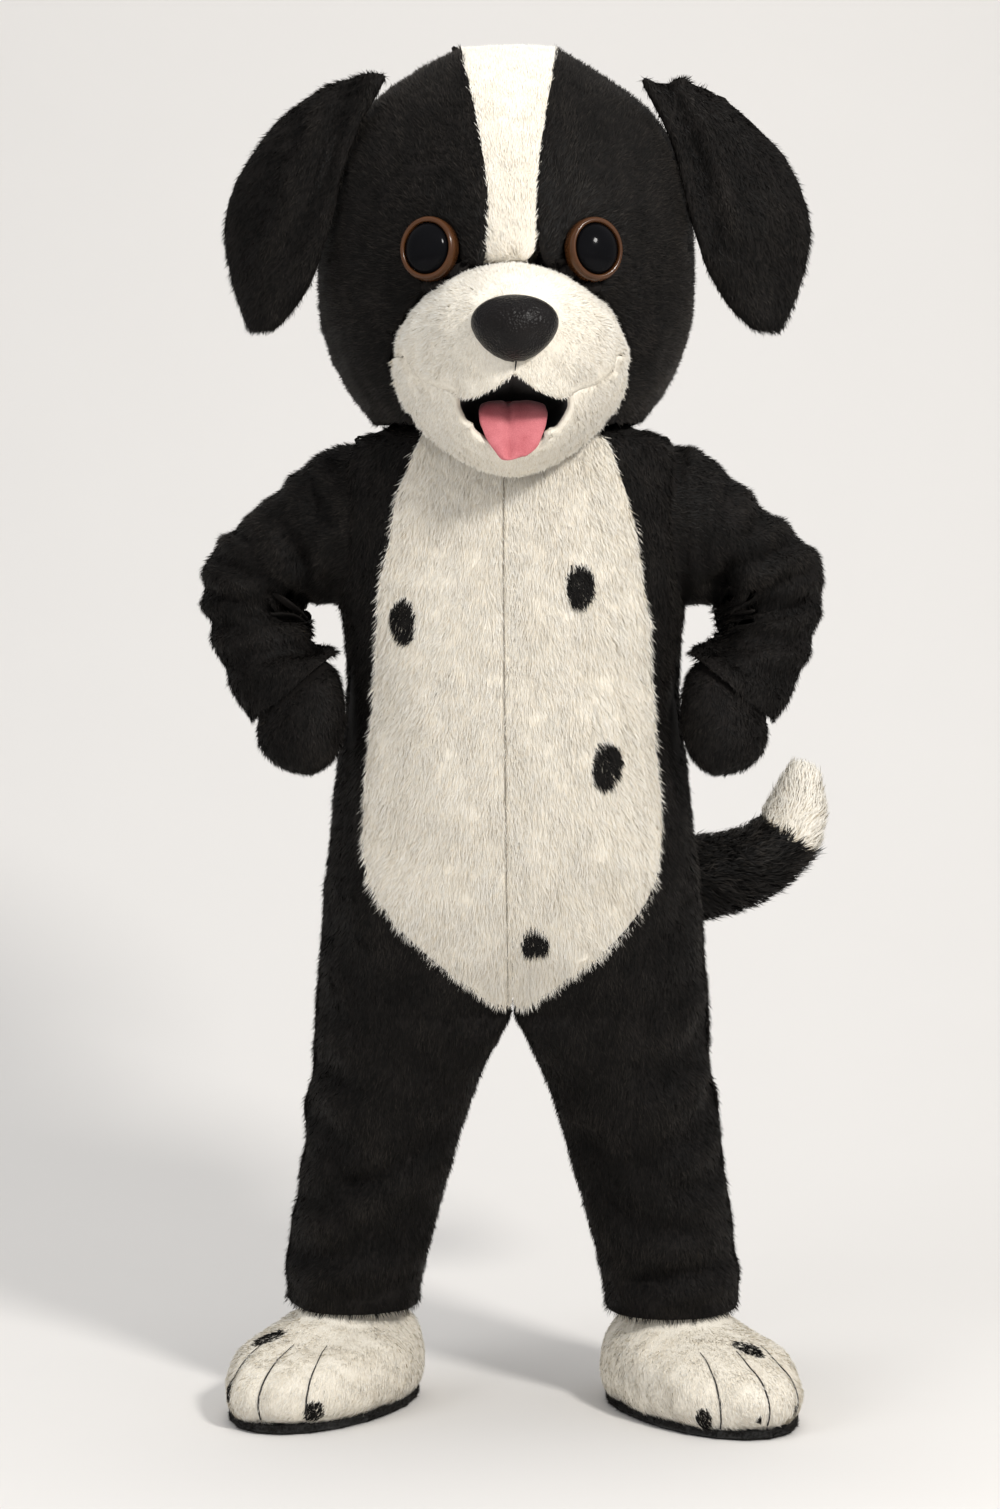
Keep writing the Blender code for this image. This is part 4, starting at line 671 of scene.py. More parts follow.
def strandMesh(name, base, bend, tip, edge, glow, upper, tone, dark):      # one triangle a strand, or a bent strip
    if bend is None:
        points = np.stack([base - edge, base + edge, tip], axis=1)
        order, starts, rise = np.array((0, 1, 2)), np.array((0,)), np.array((0, 0, 1.0))
        shading = np.stack([glow] * 3, axis=1)
    else:
        points = np.stack([base - edge, base + edge, bend - 0.8 * edge, bend + 0.8 * edge, tip], axis=1)
        order, starts, rise = np.array((0, 1, 3, 2, 2, 3, 4)), np.array((0, 4)), np.array((0, 0, 0.55, 0.55, 1.0))
        shading = np.stack([glow] * 4 + [unit(glow + 0.2 * upper)], axis=1)
    rows = np.arange(len(base))[:, None]
    loops = (rows * points.shape[1] + order).ravel()
    loopStarts = (rows * len(order) + starts).ravel()
    mesh = bpy.data.meshes.new(name)
    mesh.vertices.add(points.size // 3)
    mesh.vertices.foreach_set("co", points.astype(np.float32).ravel())
    mesh.loops.add(len(loops))
    mesh.loops.foreach_set("vertex_index", loops.astype(np.int32))
    mesh.polygons.add(len(loopStarts))
    mesh.polygons.foreach_set("loop_start", loopStarts.astype(np.int32))
    mesh.polygons.foreach_set("material_index", np.repeat(dark, len(starts)).astype(np.int32))
    mesh.update(calc_edges=True)
    mesh.shade_smooth()
    across = np.repeat(tone[:, None], len(order), axis=1)
    places = np.stack([across + 0.004 * np.where(order % 2 == 0, -1, 1),
                       np.broadcast_to(0.02 + 0.96 * rise[order], across.shape)], axis=2)
    mesh.uv_layers.new(name="OFBake").data.foreach_set("uv", places.astype(np.float32).ravel())
    mesh.normals_split_custom_set_from_vertices(shading.reshape(-1, 3).astype(np.float32))
    return mesh, len(rows) * (len(order) - 2 * len(starts))


rootDepth = 0.0008


def growPile(name, shell, node, settings):
    dice = np.random.default_rng(settings["seed"])
    roots, normals = sowRoots(shell, node, settings, dice)
    count = len(roots)
    way = settings["nap"](roots, normals)
    way = unit(way - normals * (way * normals).sum(1, keepdims=True))
    swing = np.radians(settings["swirl"]) * (softNoise(roots, 0.05, 11) + 0.8 * softNoise(roots, 0.022, 12))
    swing += np.radians(settings["stray"]) * dice.normal(size=count)
    way = between(way, np.cross(normals, way), swing)
    lift = np.radians(settings["lift"] + settings["liftSpread"] * dice.normal(size=count)
                      + 6.0 * softNoise(roots, 0.03, 13))
    length = settings["length"] * (1 + 0.16 * dice.normal(size=count)) * (1 + 0.10 * softNoise(roots, 0.04, 14))
    if settings["lengths"]:
        length *= settings["lengths"](roots)
    tone = 0.46 + settings["toneSpread"] * dice.normal(size=count) + settings["patchy"] * (
        softNoise(roots, 0.06, 15) + 0.8 * softNoise(roots, 0.02, 16))
    # along each crease the pile sinks a little and grows shorter, and painted shade darkens its tone
    for line, width, depth in settings["creases"]:
        near = np.exp(-(lineDistance(roots, line)[0] / width) ** 2) * (normals[:, 1] < 0.35)
        roots = roots - normals * (0.12 * depth * near)[:, None]
        tone -= 0.55 * near
        length = length * (1 - 0.35 * near)
    foldShadeDepth = foldSink(roots, normals, settings["folds"], 1, settings["fade"])
    foldShadeDepth += foldSink(roots, normals, settings["backFolds"], -1, settings["fade"])
    tone = np.clip(tone - settings["foldPaintedShading"] * foldShadeDepth, 0.02, 0.98)      # painted light on a fold's ridge, painted shade in its trough
    length = np.clip(length, 0.35 * settings["length"], 1.35 * settings["length"])
    if settings["bent"]:
        lower = unit(between(way, normals, np.minimum(lift + np.radians(14), 1.2)))
        upper = unit(between(way, normals, lift - np.radians(18)) - up * settings["droop"])
    else:
        lower = upper = unit(between(way, normals, lift))
    side = unit(np.cross(lower, normals))
    side = unit(between(side, np.cross(lower, side), 0.55 * dice.normal(size=count)))
    half = 0.5 * settings["width"] * (0.75 + 0.5 * dice.random(count)) * 1.0
    base = roots - normals * rootDepth
    bend = base + lower * (0.55 * length)[:, None]
    tip = bend + upper * (0.45 * length)[:, None]
    if settings["tipKeep"]:
        good = settings["tipKeep"](tip)
        base, bend, tip, lower, upper, side, half, normals, tone = (
            values[good] for values in (base, bend, tip, lower, upper, side, half, normals, tone))
        count = len(base)
    soft = settings["soft"]
    glow = unit(normals + 0.30 * soft * side * dice.normal(size=(count, 1)) + 0.28 * soft * lower
                + 0.10 * soft * dice.normal(size=(count, 3)))
    dark = np.zeros(count, dtype=np.int32)
    if settings["spots"]:
        dark = settings["spots"](0.45 * base + 0.55 * tip, normals, dice).astype(np.int32)
        half = half * (1 + 0.8 * dark)
        tip = tip + normals * (0.0012 * dark)[:, None]
    mesh, triangles = strandMesh(name, base, bend if settings["bent"] else None, tip, side * half[:, None], glow,
                                 upper, tone, dark)
    pile = addObject(name, mesh)
    for material in settings["pile"]:
        mesh.materials.append(material)
    fasten(pile)
    tally["pile"] += triangles
    report(f"{name}: {triangles} triangles")
    return pile


tally = {"pile": 0}


# which way the pile lies

def napDown(points, normals):
    way = np.tile(-up, (len(points), 1))
    way[:, 0] += 0.12 * np.sign(points[:, 0])
    return way


def napBelly(points, normals):
    way = np.tile(-up, (len(points), 1))
    way[:, 0] = 2.4 * (points[:, 0] + 0.009)        # away from the middle seam
    return way


def napHead(points, normals):
    nose = np.array(headPoint(0, -0.30, -0.06))
    away = unit(points - nose)
    down = smooth(points[:, 1] / 0.12)[:, None]
    return away * (1 - 0.8 * down) + down * np.array((0, 0.1, -1.0)) + np.array((0, 0.15, -0.10))


def napFace(points, normals):
    nose = np.array(headPoint(0, -0.34, -0.050))
    return unit(points - nose) + np.array((0, 0, -0.15))


def napArm(side):
    def nap(points, normals):
        return nearestOnPath(points, armPath * np.array((side, 1, 1)))[1] + np.array((0, 0, -0.35))
    return nap


def napEar(side):
    root = np.array(headPoint(side * 0.15, 0.0, 0.36))
    return lambda points, normals: unit(points - root) + np.array((side * 0.1, 0, -0.4))


def napTail(points, normals):
    return nearestOnPath(points, tailPath)[1] + np.array((0, 0, -0.18))


def napBoot(side):
    top = np.array((side * bootSettings["x"], bootSettings["back"][side] + 0.02, 0.17 - floorDepth))
    return lambda points, normals: unit(points - top) + np.array((0, 0, -0.15))


# spots and edges

bellySpots = [((-0.145, 1.070), 0.016, 0.029, 4.0), ((0.088, 1.115), 0.018, 0.028, -3.0),
              ((0.124, 0.881), 0.019, 0.031, -8.0), ((0.029, 0.645), 0.018, 0.018, -30.0)]


def spotBelly(points, normals, dice):
    dark = np.zeros(len(points), dtype=bool)
    for (x, height), wide, tall, tilt in bellySpots:
        turn = math.radians(tilt)
        dx, dz = points[:, 0] - x, points[:, 2] + floorDepth - height
        a = dx * math.cos(turn) + dz * math.sin(turn)
        b = -dx * math.sin(turn) + dz * math.cos(turn)
        ragged = 1 + 0.10 * np.sin(3 * np.arctan2(b, a) + 5 * x) + 0.10 * dice.normal(size=len(points))
        dark |= (a / wide) ** 2 + (b / tall) ** 2 < ragged
    return dark


# each spot: its middle, the way of its long half, that half, and the half across
bootSpots = {-1: [((-0.330, -0.058, -1.2305), (0.044, 0.012, 0.012), 0.024, 0.015),
                  ((-0.377, -0.116, -1.288), (0.0, 0.0, 1.0), 0.019, 0.006),
                  ((-0.3405, -0.1773, -1.3021), (0.0, 0.0, 1.0), 0.017, 0.006),
                  ((-0.2605, -0.1755, -1.3079), (0.0, 0.0, 1.0), 0.016, 0.015)],
             1: [((0.3162, -0.1178, -1.2319), (0.041, -0.026, -0.010), 0.024, 0.015),
                 ((0.250, -0.1955, -1.311), (0.0, 0.0, 1.0), 0.015, 0.011),
                 ((0.3225, -0.2119, -1.3148), (0.0, 0.0, 1.0), 0.014, 0.006),
                 ((0.3751, -0.1804, -1.3067), (0.0, 0.0, 1.0), 0.013, 0.006)]}


def spotBoot(side):
    def spots(points, normals, dice):
        dark = np.zeros(len(points), dtype=bool)
        for middle, way, halfLong, halfAcross in bootSpots[side]:
            away, way = points - np.array(middle), unit(np.array(way))
            along = away @ way
            across = np.linalg.norm(away - along[:, None] * way, axis=1)
            ragged = 1 + 0.16 * dice.normal(size=len(points))
            dark |= (along / halfLong) ** 2 + (across / halfAcross) ** 2 < ragged
        return dark
    return spots


zipGap = {"half": 0.0065, "front": 0.05, "bottom": 0.78, "top": 1.295}


def noZip(points):      # no pile over the zip
    return ~((np.abs(points[:, 0]) < zipGap["half"]) & (points[:, 1] > zipGap["front"])
             & (points[:, 2] > zipGap["bottom"] - floorDepth) & (points[:, 2] < zipGap["top"] - floorDepth))


mouthSettings = {"middle": (0.002, 0.016), "was": 0.048, "grow": 0.0185, "fade": 0.030, "lobe": 0.0085}


def fromMouth(points):      # seen from the front: across, up, and how far
    dx = points[:, 0] - mouthSettings["middle"][0]
    dz = points[:, 2] - mouthSettings["middle"][1]
    return dx, dz, np.hypot(dx, dz)


def jawWarp(points):        # the lower lip moves out and down, and the chin hardly at all
    moved = points.copy()
    dx, dz, far = fromMouth(points)
    beyond = np.clip(far - mouthSettings["was"], 0, None)
    share = np.where(far < mouthSettings["was"], far / mouthSettings["was"],
                     np.exp(-(beyond / mouthSettings["fade"]) ** 2))
    share = share * smooth((0.022 - dz) / 0.03) * smooth((-0.12 - points[:, 1]) / 0.04)
    grow = mouthSettings["grow"] * share / np.maximum(far, 1e-6)
    moved[:, 0] += grow * dx
    moved[:, 2] += grow * dz
    return moved


def muzzleWarp(points):     # the two lobes of the upper lip hang a little over the mouth
    moved = points.copy()
    below = np.clip(points[:, 2] - 0.022, 0, None)
    side = np.abs(fromMouth(points)[0])
    share = smooth((0.088 - side) / 0.03) * smooth((-0.16 - points[:, 1]) / 0.05)
    moved[:, 2] -= mouthSettings["lobe"] * np.exp(-(below / 0.022) ** 2) * share
    return moved


def inMouth(points, grow):      # within the opening
    dz, far = fromMouth(points)[1:]
    return (far < mouthSettings["was"] + mouthSettings["grow"] + grow) & (dz < -0.001) & (points[:, 1] < -0.15)


def lipTipKeep(points):
    return faceTipKeep(points) & ~inMouth(points, -0.005)


def faceKeep(points):
    return clearOfEyes(points, 0.001)


def faceTipKeep(points):
    return clearOfEyes(points, -0.0015)


def mouthShort(points):     # shorter beside the mouth and nose
    nose = np.array(headPoint(0, -0.32, -0.074))
    mouth = np.array(headPoint(0, -0.27, -0.165))
    near = np.minimum(np.linalg.norm(points - nose, axis=1), np.linalg.norm(points - mouth, axis=1))
    return 0.6 + 0.4 * smooth((near - 0.05) / 0.06)


earSettings = {"tips": {1: (0.178, 0.0, 0.466), -1: (-0.172, 0.0, 0.470)}, "reach": 0.055, "out": 0.020,
               "down": 0.026}


def earWarp(side):      # the ear's inner top end lies down on the head
    def warp(points):
        far = np.linalg.norm(points - np.array(earSettings["tips"][side]), axis=1)
        near = np.exp(-(far / earSettings["reach"]) ** 2)
        return points + near[:, None] * np.array((earSettings["out"] * side, 0, -earSettings["down"]))
    return warp


headHeart = fixedHeart(headPoint(0, 0, -0.03))
muzzleHeart = fixedHeart(headPoint(0, -0.15, -0.10))
# what a piece has unless it says otherwise, in metres, degrees and strands per square centimetre
usual = {"levels": 2, "inset": 0.003, "folds": [], "backFolds": [], "creases": [], "fade": 0.5, "uneven": 0.0015,
         "thick": 0.0025, "swirl": 14.0, "stray": 12.0, "liftSpread": 9.0, "toneSpread": 0.24, "patchy": 0.12,
         "foldPaintedShading": 38.0, "droop": 0.12, "soft": 1.0, "cover": 0.014, "partner": None, "toes": None, "warp": None,
         "lips": False, "roundTip": None, "keep": None, "tipKeep": None, "lengths": None, "spots": None, "bent": False}
blackBase = {**usual, "cloth": blackCloth, "pile": [blackPile], "slot": "black_fur", "density": 16.9,
             "length": 0.0102, "width": 0.0014, "lift": 28.0}
whiteBase = {**usual, "cloth": whiteCloth, "pile": [whitePile, blackPile], "slot": "white_fur", "density": 34,
             "length": 0.0095, "width": 0.0015, "lift": 19.0, "liftSpread": 6.0, "patchy": 0.05, "swirl": 8.0,
             "soft": 0.5, "foldPaintedShading": 14.0, "toneSpread": 0.14}
suit = {"fade": 0.12, "wall": 0.007, "heart": suitHeart, "nap": napDown}
pieces = {}
for number, side in ((1, "left"), (2, "right")):
    pieces["back_" + side] = {**blackBase, **suit, "backFolds": legBackFolds, "folds": sideFolds, "keep": noZip,
                              "seed": number}
for number, side in ((3, "left"), (4, "right")):
    pieces["front_" + side] = {**blackBase, **suit, "folds": legFolds + sideFolds + armFoldsRight[-2:-1]
                               + armFoldsLeft[5:6], "creases": hemLines, "seed": number}
    pieces["belly_" + side] = {**whiteBase, **suit, "folds": bellyFolds, "creases": bellySeam, "nap": napBelly,
                               "length": 0.0145, "width": 0.0014, "density": 32, "lift": 17.0, "levels": 1,
                               "spots": spotBelly, "swirl": 7.0, "seed": number + 2}
for number, side, sign, folds, behind in ((7, "left", 1, armFoldsLeft, armBackLeft),
                                          (8, "right", -1, armFoldsRight, armBackRight)):
    limb = {**blackBase, "nap": napArm(sign), "heart": armHeart(sign)}
    pieces["sleeve_" + side] = {**limb, "wall": 0.007, "folds": folds, "backFolds": behind, "seed": number}
    pieces["mitt_" + side] = {**limb, "wall": 0.006, "levels": 1, "seed": number + 2}
    pieces["boot_" + side] = {**whiteBase, "wall": 0.007, "heart": bootHeart(sign), "nap": napBoot(sign),
                              "spots": spotBoot(sign), "toes": sign, "length": 0.0085, "lift": 14.0, "swirl": 4.0,
                              "stray": 8.0, "seed": number + 4}
    pieces["head_" + side] = {**blackBase, "wall": 0.014, "heart": headHeart, "thick": 0.009, "nap": napHead,
                              "creases": browLines, "keep": faceKeep, "tipKeep": faceTipKeep, "seed": number + 6}
    for layer, other, seed in (("front", "back", 8), ("back", "front", 10)):
        pieces[f"ear_{layer}_{side}"] = {**blackBase, "partner": f"ear_{other}_{side}", "levels": 1, "inset": 0.002,
                                         "nap": napEar(sign), "seed": number + seed, "lift": 25.0,
                                         "roundTip": earSettings["tips"][sign], "warp": earWarp(sign),
                                         "folds" if layer == "front" else "backFolds": earFolds}
face = {**whiteBase, "wall": 0.014, "thick": 0.009, "keep": faceKeep}
mouth = {**face, "heart": muzzleHeart, "nap": napFace, "tipKeep": lipTipKeep, "lengths": mouthShort}
pieces["blaze"] = {**face, "heart": headHeart, "nap": napHead, "tipKeep": faceTipKeep, "seed": 21, "length": 0.0098}
pieces["muzzle"] = {**mouth, "warp": muzzleWarp, "creases": smileLines + philtrumLine, "seed": 22}
pieces["jaw"] = {**mouth, "lips": True, "warp": jawWarp, "creases": smileLines, "length": 0.0090, "seed": 23}
pieces["tail"] = {**blackBase, "partner": "tail_tip", "inset": 0.005, "nap": napTail, "bent": True, "length": 0.020,
                  "width": 0.0020, "density": 14, "lift": 26.0, "droop": 0.3, "seed": 24}
pieces["tail_tip"] = {**whiteBase, "partner": "tail", "inset": 0.005, "nap": napTail, "bent": True, "length": 0.020,
                      "width": 0.0019, "density": 22, "lift": 30.0, "droop": 0.15, "seed": 25}


def plainName(node, ending):
    words = node.split("_")
    return words[0] + "".join(word.title() for word in words[1:]) + ending


skins, skinAreas = {}, {}
for node, settings in pieces.items():
    skin, shell = makeSkin(plainName(node, "Cloth"), node, settings)
    pile = growPile(plainName(node, "Pile"), shell, node, settings)
    skins[node], skinAreas[node] = skin, float(shell["areas"].sum())
skinTriangles = sum(len(polygon.vertices) - 2 for skin in skins.values() for polygon in skin.data.polygons)
report(f"pile in all: {tally['pile']} triangles, cloth: {skinTriangles}")


# face parts

def spinPiece(node, profile, side, material):
    mesh = bpy.data.meshes.new(plainName(node, "Gloss"))
    thing = addObject(mesh.name, mesh)
    mesh.from_pydata([(r, 0.0, h) for r, h in profile], [(i, i + 1) for i in range(len(profile) - 1)], [])
    editAll(thing, spin={"steps": eyeSettings["steps"], "angle": 2 * math.pi, "center": (0, 0, 0), "axis": (0, 0, 1)},
            remove_doubles={"threshold": 1e-5}, normals_make_consistent={"inside": False})
    points = readPoints(mesh)
    local = np.column_stack([points[:, 0] * eyeSettings["halfWidth"], -points[:, 2],
                             points[:, 1] * eyeSettings["halfHeight"]])
    place = np.array(eyePlace(side))
    writePoints(mesh, local @ place[:3, :3].T + place[:3, 3])
    editAll(thing, normals_make_consistent={"inside": False})
    mesh.shade_smooth()
    mesh.materials.append(material)
    fasten(thing, node)


ringProfile = [(0.805, -0.012), (1.0, -0.012), (1.0, 0.001), (0.992, 0.0035), (0.975, 0.0062), (0.945, 0.0082),
               (0.905, 0.0093), (0.86, 0.0094), (0.828, 0.0086), (0.809, 0.0068), (0.805, 0.0045), (0.805, -0.012)]
domeProfile = [(0.0, -0.012), (0.795, -0.012), (0.795, 0.002), (0.785, 0.0048), (0.757, 0.0076), (0.71, 0.0100),
               (0.63, 0.0124), (0.53, 0.0145), (0.41, 0.0163), (0.27, 0.0177), (0.13, 0.0184), (0.0, 0.0186)]
for side, sign in (("left", 1), ("right", -1)):
    spinPiece("eye_ring_" + side, ringProfile, sign, eyeBrown)
    spinPiece("eye_dome_" + side, domeProfile, sign, eyeBlack)
report("eyes made")


def softCopy(name, node, material, levels, change):
    mesh = cadNodes[node].data.copy()
    thing = addObject(name, mesh)
    mesh.materials.clear()
    editAll(thing, remove_doubles={"threshold": 2e-5}, tris_convert_to_quads=quadLimits)
    applyModifier(thing, "SUBSURF", levels=levels, render_levels=levels)
    writePoints(thing.data, change(readPoints(thing.data), readNormals(thing.data)))
    thing.data.shade_smooth()
    thing.data.materials.append(material)
    fasten(thing, node)
    return thing


tongueSettings = {"lip": 0.016, "wide": 1.10, "wider": 1.2, "longer": 0.36, "forward": 0.16, "grooveDeep": 0.005,
                  "grooveHalf": 0.0035, "endHalf": 0.016, "endLonger": 0.0045}
noseSettings = {"nostrils": ((0.0354, 0.0896), (-0.0306, 0.0835)), "halfWidth": 0.0145, "halfHeight": 0.009,
                "deep": 0.006}


def tongueShape(points, normals):       # wider and longer, over the lip, with a round end
    tongue = tongueSettings
    middle = headPoint(0, 0, 0).x + 0.0015
    upper = smooth(0.5 + normals[:, 2] - 0.6 * normals[:, 1])
    groove = np.exp(-((points[:, 0] - middle) / tongue["grooveHalf"]) ** 2) * upper
    moved = points - normals * (tongue["grooveDeep"] * groove)[:, None] \
        + normals * (0.0005 * softNoise(points, 0.02, 5))[:, None]
    down = np.clip(tongue["lip"] - points[:, 2], 0, None)
    moved[:, 0] = middle + (moved[:, 0] - middle) * (tongue["wide"] + tongue["wider"] * down)
    end = np.clip(1 - ((moved[:, 0] - middle) / tongue["endHalf"]) ** 2, 0, 1)
    moved[:, 2] -= tongue["longer"] * down + tongue["endLonger"] * smooth((down - 0.030) / 0.016) * end
    moved[:, 1] -= tongue["forward"] * down
    return moved


def noseShape(points, normals):     # two nostrils pressed in at the lower sides
    moved = points.copy()
    for x, z in noseSettings["nostrils"]:
        inside = ((points[:, 0] - x) / noseSettings["halfWidth"]) ** 2 \
            + ((points[:, 2] - z) / noseSettings["halfHeight"]) ** 2
        moved[:, 1] += noseSettings["deep"] * np.exp(-inside ** 1.5) * (points[:, 1] < -0.30)
    return moved


softCopy("noseLeatherCover", "nose", noseLeather, 2, noseShape)
tongue = softCopy("tonguePad", "tongue", tonguePlush, 2, tongueShape)
lining = softCopy("mouthLiningCloth", "mouth_lining", mouthCloth, 1,
                  lambda points, normals: jawWarp(points))
report("nose, tongue and mouth made")


# zip and soles

for node, material in (("sole_left", soleRubber), ("sole_right", soleRubber), ("zip_tape", zipTapeCloth),
                       ("zip_slider", zipEnamel), ("zip_pull", zipEnamel)):
    mesh = cadNodes[node].data
    mesh.materials.clear()
    mesh.materials.append(material)


def sewSeam(name, spots, thick, material):
    curve = bpy.data.curves.new(name, "CURVE")
    curve.dimensions = "3D"
    spline = curve.splines.new("POLY")
    spline.points.add(len(spots) - 1)
    for rank, (point, spot) in enumerate(zip(spline.points, spots)):
        point.co = (*spot, 1)
        point.radius = 1.0 - 0.6 * max(0.0, rank / len(spots) - 0.6) / 0.4     # runs out thin at its end
    curve.bevel_depth = thick
    curve.bevel_resolution = 2
    curve.use_fill_caps = True
    pick(addObject(name, curve))
    bpy.ops.object.convert(target="MESH")
    seam = bpy.context.object
    seam.data.shade_smooth()
    seam.data.materials.append(material)
    fasten(seam)


def frontSpots(nodes, line, steps, proud):      # points of a front-view line, dropped on the cloth from ahead
    trees = [BVHTree.FromObject(skins[node], bpy.context.evaluated_depsgraph_get()) for node in nodes]
    spots = []
    for part in np.linspace(0, 1, steps):
        place = part * (len(line) - 1)
        first = min(int(place), len(line) - 2)
        x, height = np.array(line[first]) + (place - first) * (np.array(line[first + 1]) - np.array(line[first]))
        hits = [tree.ray_cast(Vector((x, -1.0, height - floorDepth)), Vector((0, 1, 0)), 1.5)[0] for tree in trees]
        hits = [hit for hit in hits if hit is not None]
        if hits:
            spots.append(min(hits, key=lambda hit: hit.y) + Vector((0, -proud, 0)))
    return spots


toeSeamSettings = {"low": 0.014, "high": 0.100, "steps": 18, "thick": 0.0011}


def makeToeSeams(side, word):
    boot = BVHTree.FromObject(skins["boot_" + word], bpy.context.evaluated_depsgraph_get())
    turn = math.radians(bootSettings["turn"]) * side
    for number, groove in enumerate(bootSettings["grooves"]):
        spots = []
        for height in np.linspace(toeSeamSettings["low"], toeSeamSettings["high"], toeSeamSettings["steps"]):
            width, length, shift = (bootSize(height, key) for key in ("widths", "lengths", "shifts"))
            angle = math.radians(groove * side)
            middle = Vector((0, -shift, 0))
            out = Vector((width * math.sin(angle), -shift - length * math.cos(angle), 0)) - middle
            out.normalize()
            start = middle + out * 0.32
            place = Matrix.Translation((side * bootSettings["x"], bootSettings["back"][side], height - floorDepth)) \
                @ Matrix.Rotation(turn, 4, "Z")
            hit = boot.ray_cast(place @ start, place.to_3x3() @ -out, 0.4)
            if hit[0] is not None:
                spots.append(hit[0] + hit[1] * 0.0012)
        sewSeam(f"toeSeam{word.title()}{number}", spots, toeSeamSettings["thick"], threadBlack)
    report(f"toe seams on the {word} boot: {len(bootSettings['grooves'])}")


sewSeam("philtrumSeam", frontSpots(["muzzle"], philtrumLine[0][0], 12, 0.0022), 0.0011, threadBlack)
sewSeam("bellySeam", frontSpots(["belly_left", "belly_right"], bellySeam[0][0], 60, 0.0018), 0.0008, threadGrey)


def edgeShell(node):        # the sole's side and upper edge
    mesh = cadNodes[node].data
    points = readPoints(mesh)
    mesh.calc_loop_triangles()
    corners = np.array([tri.vertices[:] for tri in mesh.loop_triangles])
    faces = points[corners]
    cross = np.cross(faces[:, 1] - faces[:, 0], faces[:, 2] - faces[:, 0])
    facing = unit(cross)
    good = np.abs(facing[:, 2]) < 0.8
    corners, cross, facing = corners[good], cross[good], facing[good]
    return {"points": points[corners].reshape(-1, 3), "normals": np.repeat(facing, 3, axis=0),
            "corners": np.arange(len(corners) * 3).reshape(-1, 3), "areas": np.linalg.norm(cross, axis=1) / 2}


for word, sign in (("left", 1), ("right", -1)):
    makeToeSeams(sign, word)
    growPile(plainName("sole_" + word, "Fringe"), edgeShell("sole_" + word), "sole_" + word,
             {**usual, "pile": [blackPile], "slot": "black_fur", "density": 70, "length": 0.0055,
              "width": 0.0012, "lift": 35.0, "liftSpread": 18.0, "stray": 35.0, "cover": 0.0005, "seed": 31 + sign,
              "tipKeep": lambda tips: tips[:, 2] > 0.0008 - floorDepth,
              "nap": lambda points, normals: np.tile(up * 0.7, (len(points), 1)) + 0.5 * normals})


zipSettings = {"top": 1.276, "bottom": 0.787, "pitch": 0.0032, "tooth": (0.0026, 0.0012, 0.0017), "offset": 0.0011,
               "bevel": 0.00025, "proud": 0.0004, "behind": 0.4, "reach": 0.5}


def makeZipTeeth():
    tape = bvhOf(["zip_tape"])
    bpy.ops.mesh.primitive_cube_add(size=1)
    tooth = bpy.context.object
    pick(tooth)
    tooth.scale = zipSettings["tooth"]
    bpy.ops.object.transform_apply(location=False, rotation=False, scale=True)
    applyModifier(tooth, "BEVEL", width=zipSettings["bevel"], segments=1)
    pattern = [vertex.co.copy() for vertex in tooth.data.vertices]
    shape = [tuple(face.vertices) for face in tooth.data.polygons]
    points, faces = [], []
    height, number = zipSettings["bottom"], 0
    while height < zipSettings["top"]:
        offset = zipSettings["offset"] * (1 if number % 2 else -1)
        spot = Vector((offset, zipSettings["behind"], height - floorDepth))
        place = tape.ray_cast(spot, Vector((0, -1, 0)), zipSettings["reach"])[0]
        if place is not None:
            start = len(points)
            points += [corner + place + Vector((0, zipSettings["proud"], 0)) for corner in pattern]
            faces += [tuple(start + index for index in face) for face in shape]
        height += zipSettings["pitch"] / 2
        number += 1
    bpy.data.objects.remove(tooth)
    mesh = bpy.data.meshes.new("zipTeeth")
    mesh.from_pydata(points, [], faces)
    mesh.materials.append(zipEnamel)
    fasten(addObject("zipTeeth", mesh))
    report(f"zip teeth: {number}")


makeZipTeeth()


# studio

studio = {"camera": (-0.0169, -4.7, -0.185), "tilt": 86.815, "lens": 82.97, "backdrop": (0.76, 0.74, 0.715),
          "wall": 0.9, "bend": 2.6, "floor": 22, "sweep": 14, "air": (0.93, 0.94, 0.96, 1), "airStrength": 0.56}
# each light: its place, what it looks at, watts, size, colour, and whether it shows in gloss
lights = {"keyLight": ((2.3, -3.4, 2.3), (0, 0, -0.2), 184, 0.8, (1.0, 0.975, 0.94), True),
          "fillLight": ((-3.2, -3.0, 0.9), (0, 0, -0.3), 48, 2.2, (0.97, 0.98, 1.0), False),
          "topLight": ((0.0, 0.4, 3.2), (0, 0, -0.5), 50, 2.4, (1, 1, 1), False)}


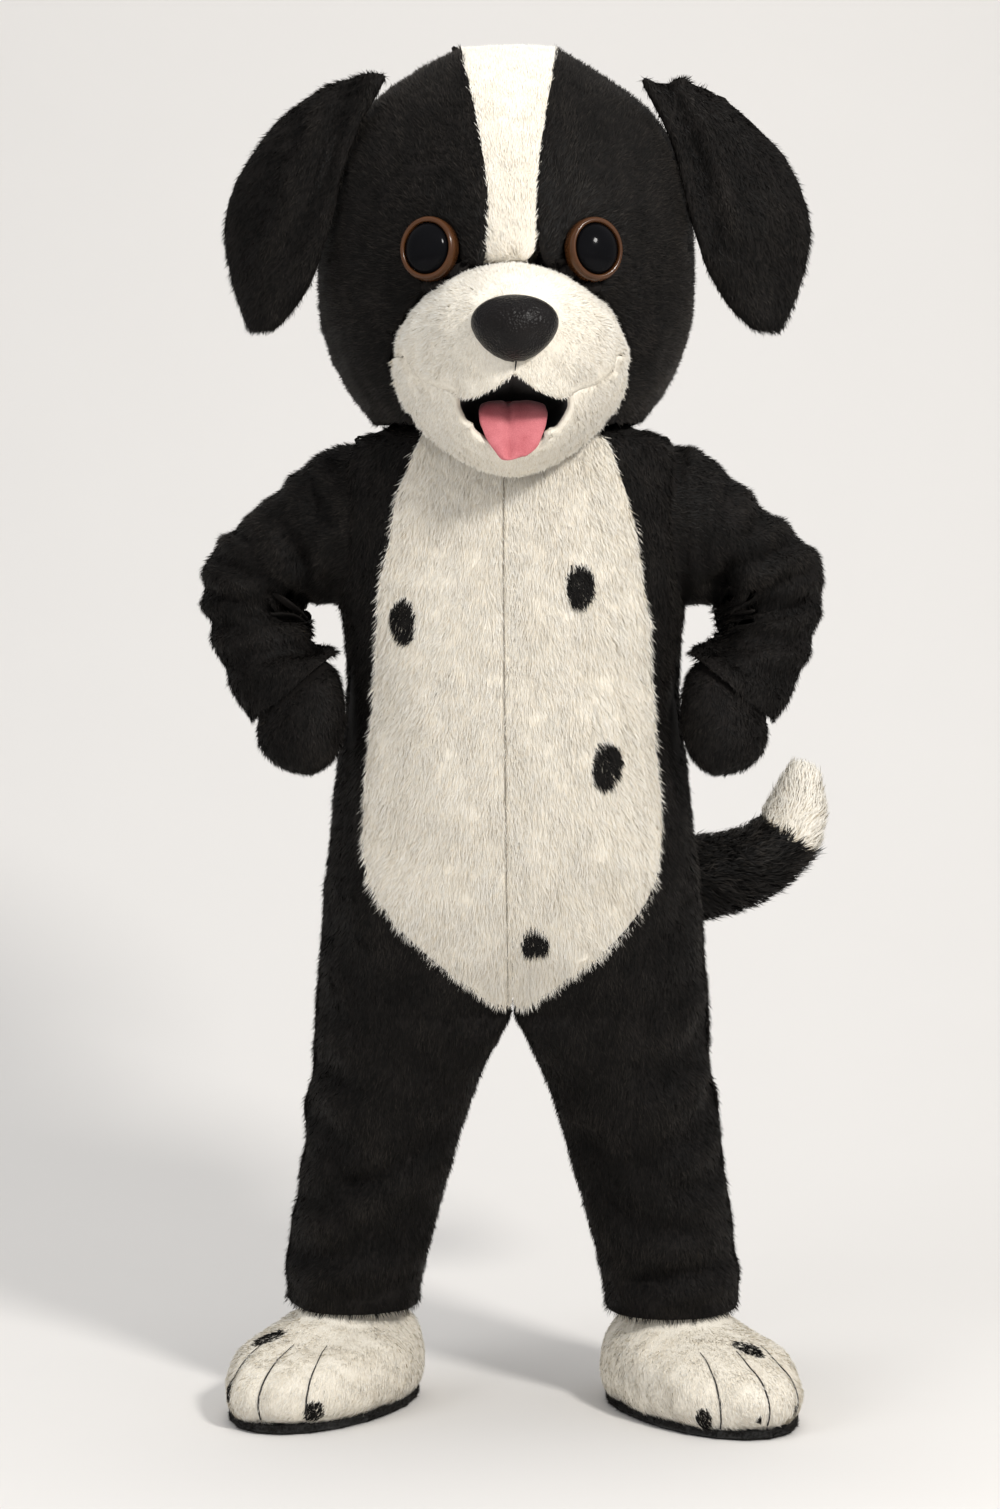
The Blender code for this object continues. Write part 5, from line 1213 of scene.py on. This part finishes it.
def makePaper():
    paper, tree, principled = startMaterial("studioPaper", {"Roughness": 0.9, "Specular IOR Level": 0.1})
    place = addNode(tree, "TexCoord")
    fibre = addNode(tree, "TexNoise", {"Scale": 3.0})
    tone = addMix(tree, {"A": colour(studio["backdrop"]), "B": colour([value * 1.02 for value in studio["backdrop"]])})
    sides = addNode(tree, "NewGeometry")       # the paper is there only from its front
    clear = addNode(tree, "BsdfTransparent")
    either = addNode(tree, "MixShader")
    wire(tree, (place, "Object", fibre, "Vector"), (fibre, "Fac", tone, "Factor"),
         (tone, "Result", principled, "Base Color"), (sides, "Backfacing", either, "Fac"), (principled, 0, either, 1),
         (clear, 0, either, 2), (either, 0, tree.nodes["Material Output"], "Surface"))
    return paper


def addSheet(name, size, below, paper):
    deselectAll()
    bpy.ops.mesh.primitive_plane_add(size=size, location=(0, 0, -floorDepth - below))
    sheet = bpy.context.object
    sheet.name = name
    bpy.ops.object.transform_apply(location=True)
    sheet.data.materials.append(paper)
    return sheet


def makeStudio():       # a flat floor, and over it a sweep that bends up into the wall
    paper = makePaper()
    addSheet("studioFloor", studio["floor"], 0.002, paper)
    sweep = addSheet("studioSweep", studio["sweep"], 0.0005, paper)
    editAll(sweep, subdivide={"number_cuts": 89})
    points = readPoints(sweep.data)
    bend = studio["bend"]
    run = np.clip(points[:, 1] - studio["wall"], 0, None)
    turn = np.minimum(run / bend, math.pi / 2)
    points[:, 1] = np.minimum(points[:, 1], studio["wall"]) + bend * np.sin(turn)
    points[:, 2] += bend * (1 - np.cos(turn)) + np.clip(run - bend * math.pi / 2, 0, None)
    writePoints(sweep.data, points)
    sweep.data.shade_smooth()


def addLight(name, place, target, energy, size, tint, seen):
    data = bpy.data.lights.new(name, "AREA")
    data.shape = "DISK"
    data.size = size
    data.energy = energy
    data.color = tint
    light = addObject(name, data)
    light.location = place
    light.rotation_euler = (Vector(target) - Vector(place)).to_track_quat("-Z", "Y").to_euler()
    light.visible_glossy = seen


makeStudio()
for name, values in lights.items():
    addLight(name, *values)
world = bpy.data.worlds.new("studioAir")
world.use_nodes = True
air = world.node_tree.nodes["Background"]
air.inputs["Color"].default_value = studio["air"]
air.inputs["Strength"].default_value = studio["airStrength"]
bpy.context.scene.world = world
bpy.context.scene.view_settings.view_transform = "Standard"
bpy.context.scene.view_settings.look = "None"

cameraData = bpy.data.cameras.new("studioCamera")
cameraData.lens = studio["lens"]
cameraData.sensor_width = 36
cameraData.sensor_fit = "AUTO"
camera = addObject("studioCamera", cameraData)
camera.location = studio["camera"]
camera.rotation_euler = (math.radians(studio["tilt"]), 0, 0)
bpy.context.scene.camera = camera
report("studio made")

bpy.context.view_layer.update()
deselectAll()
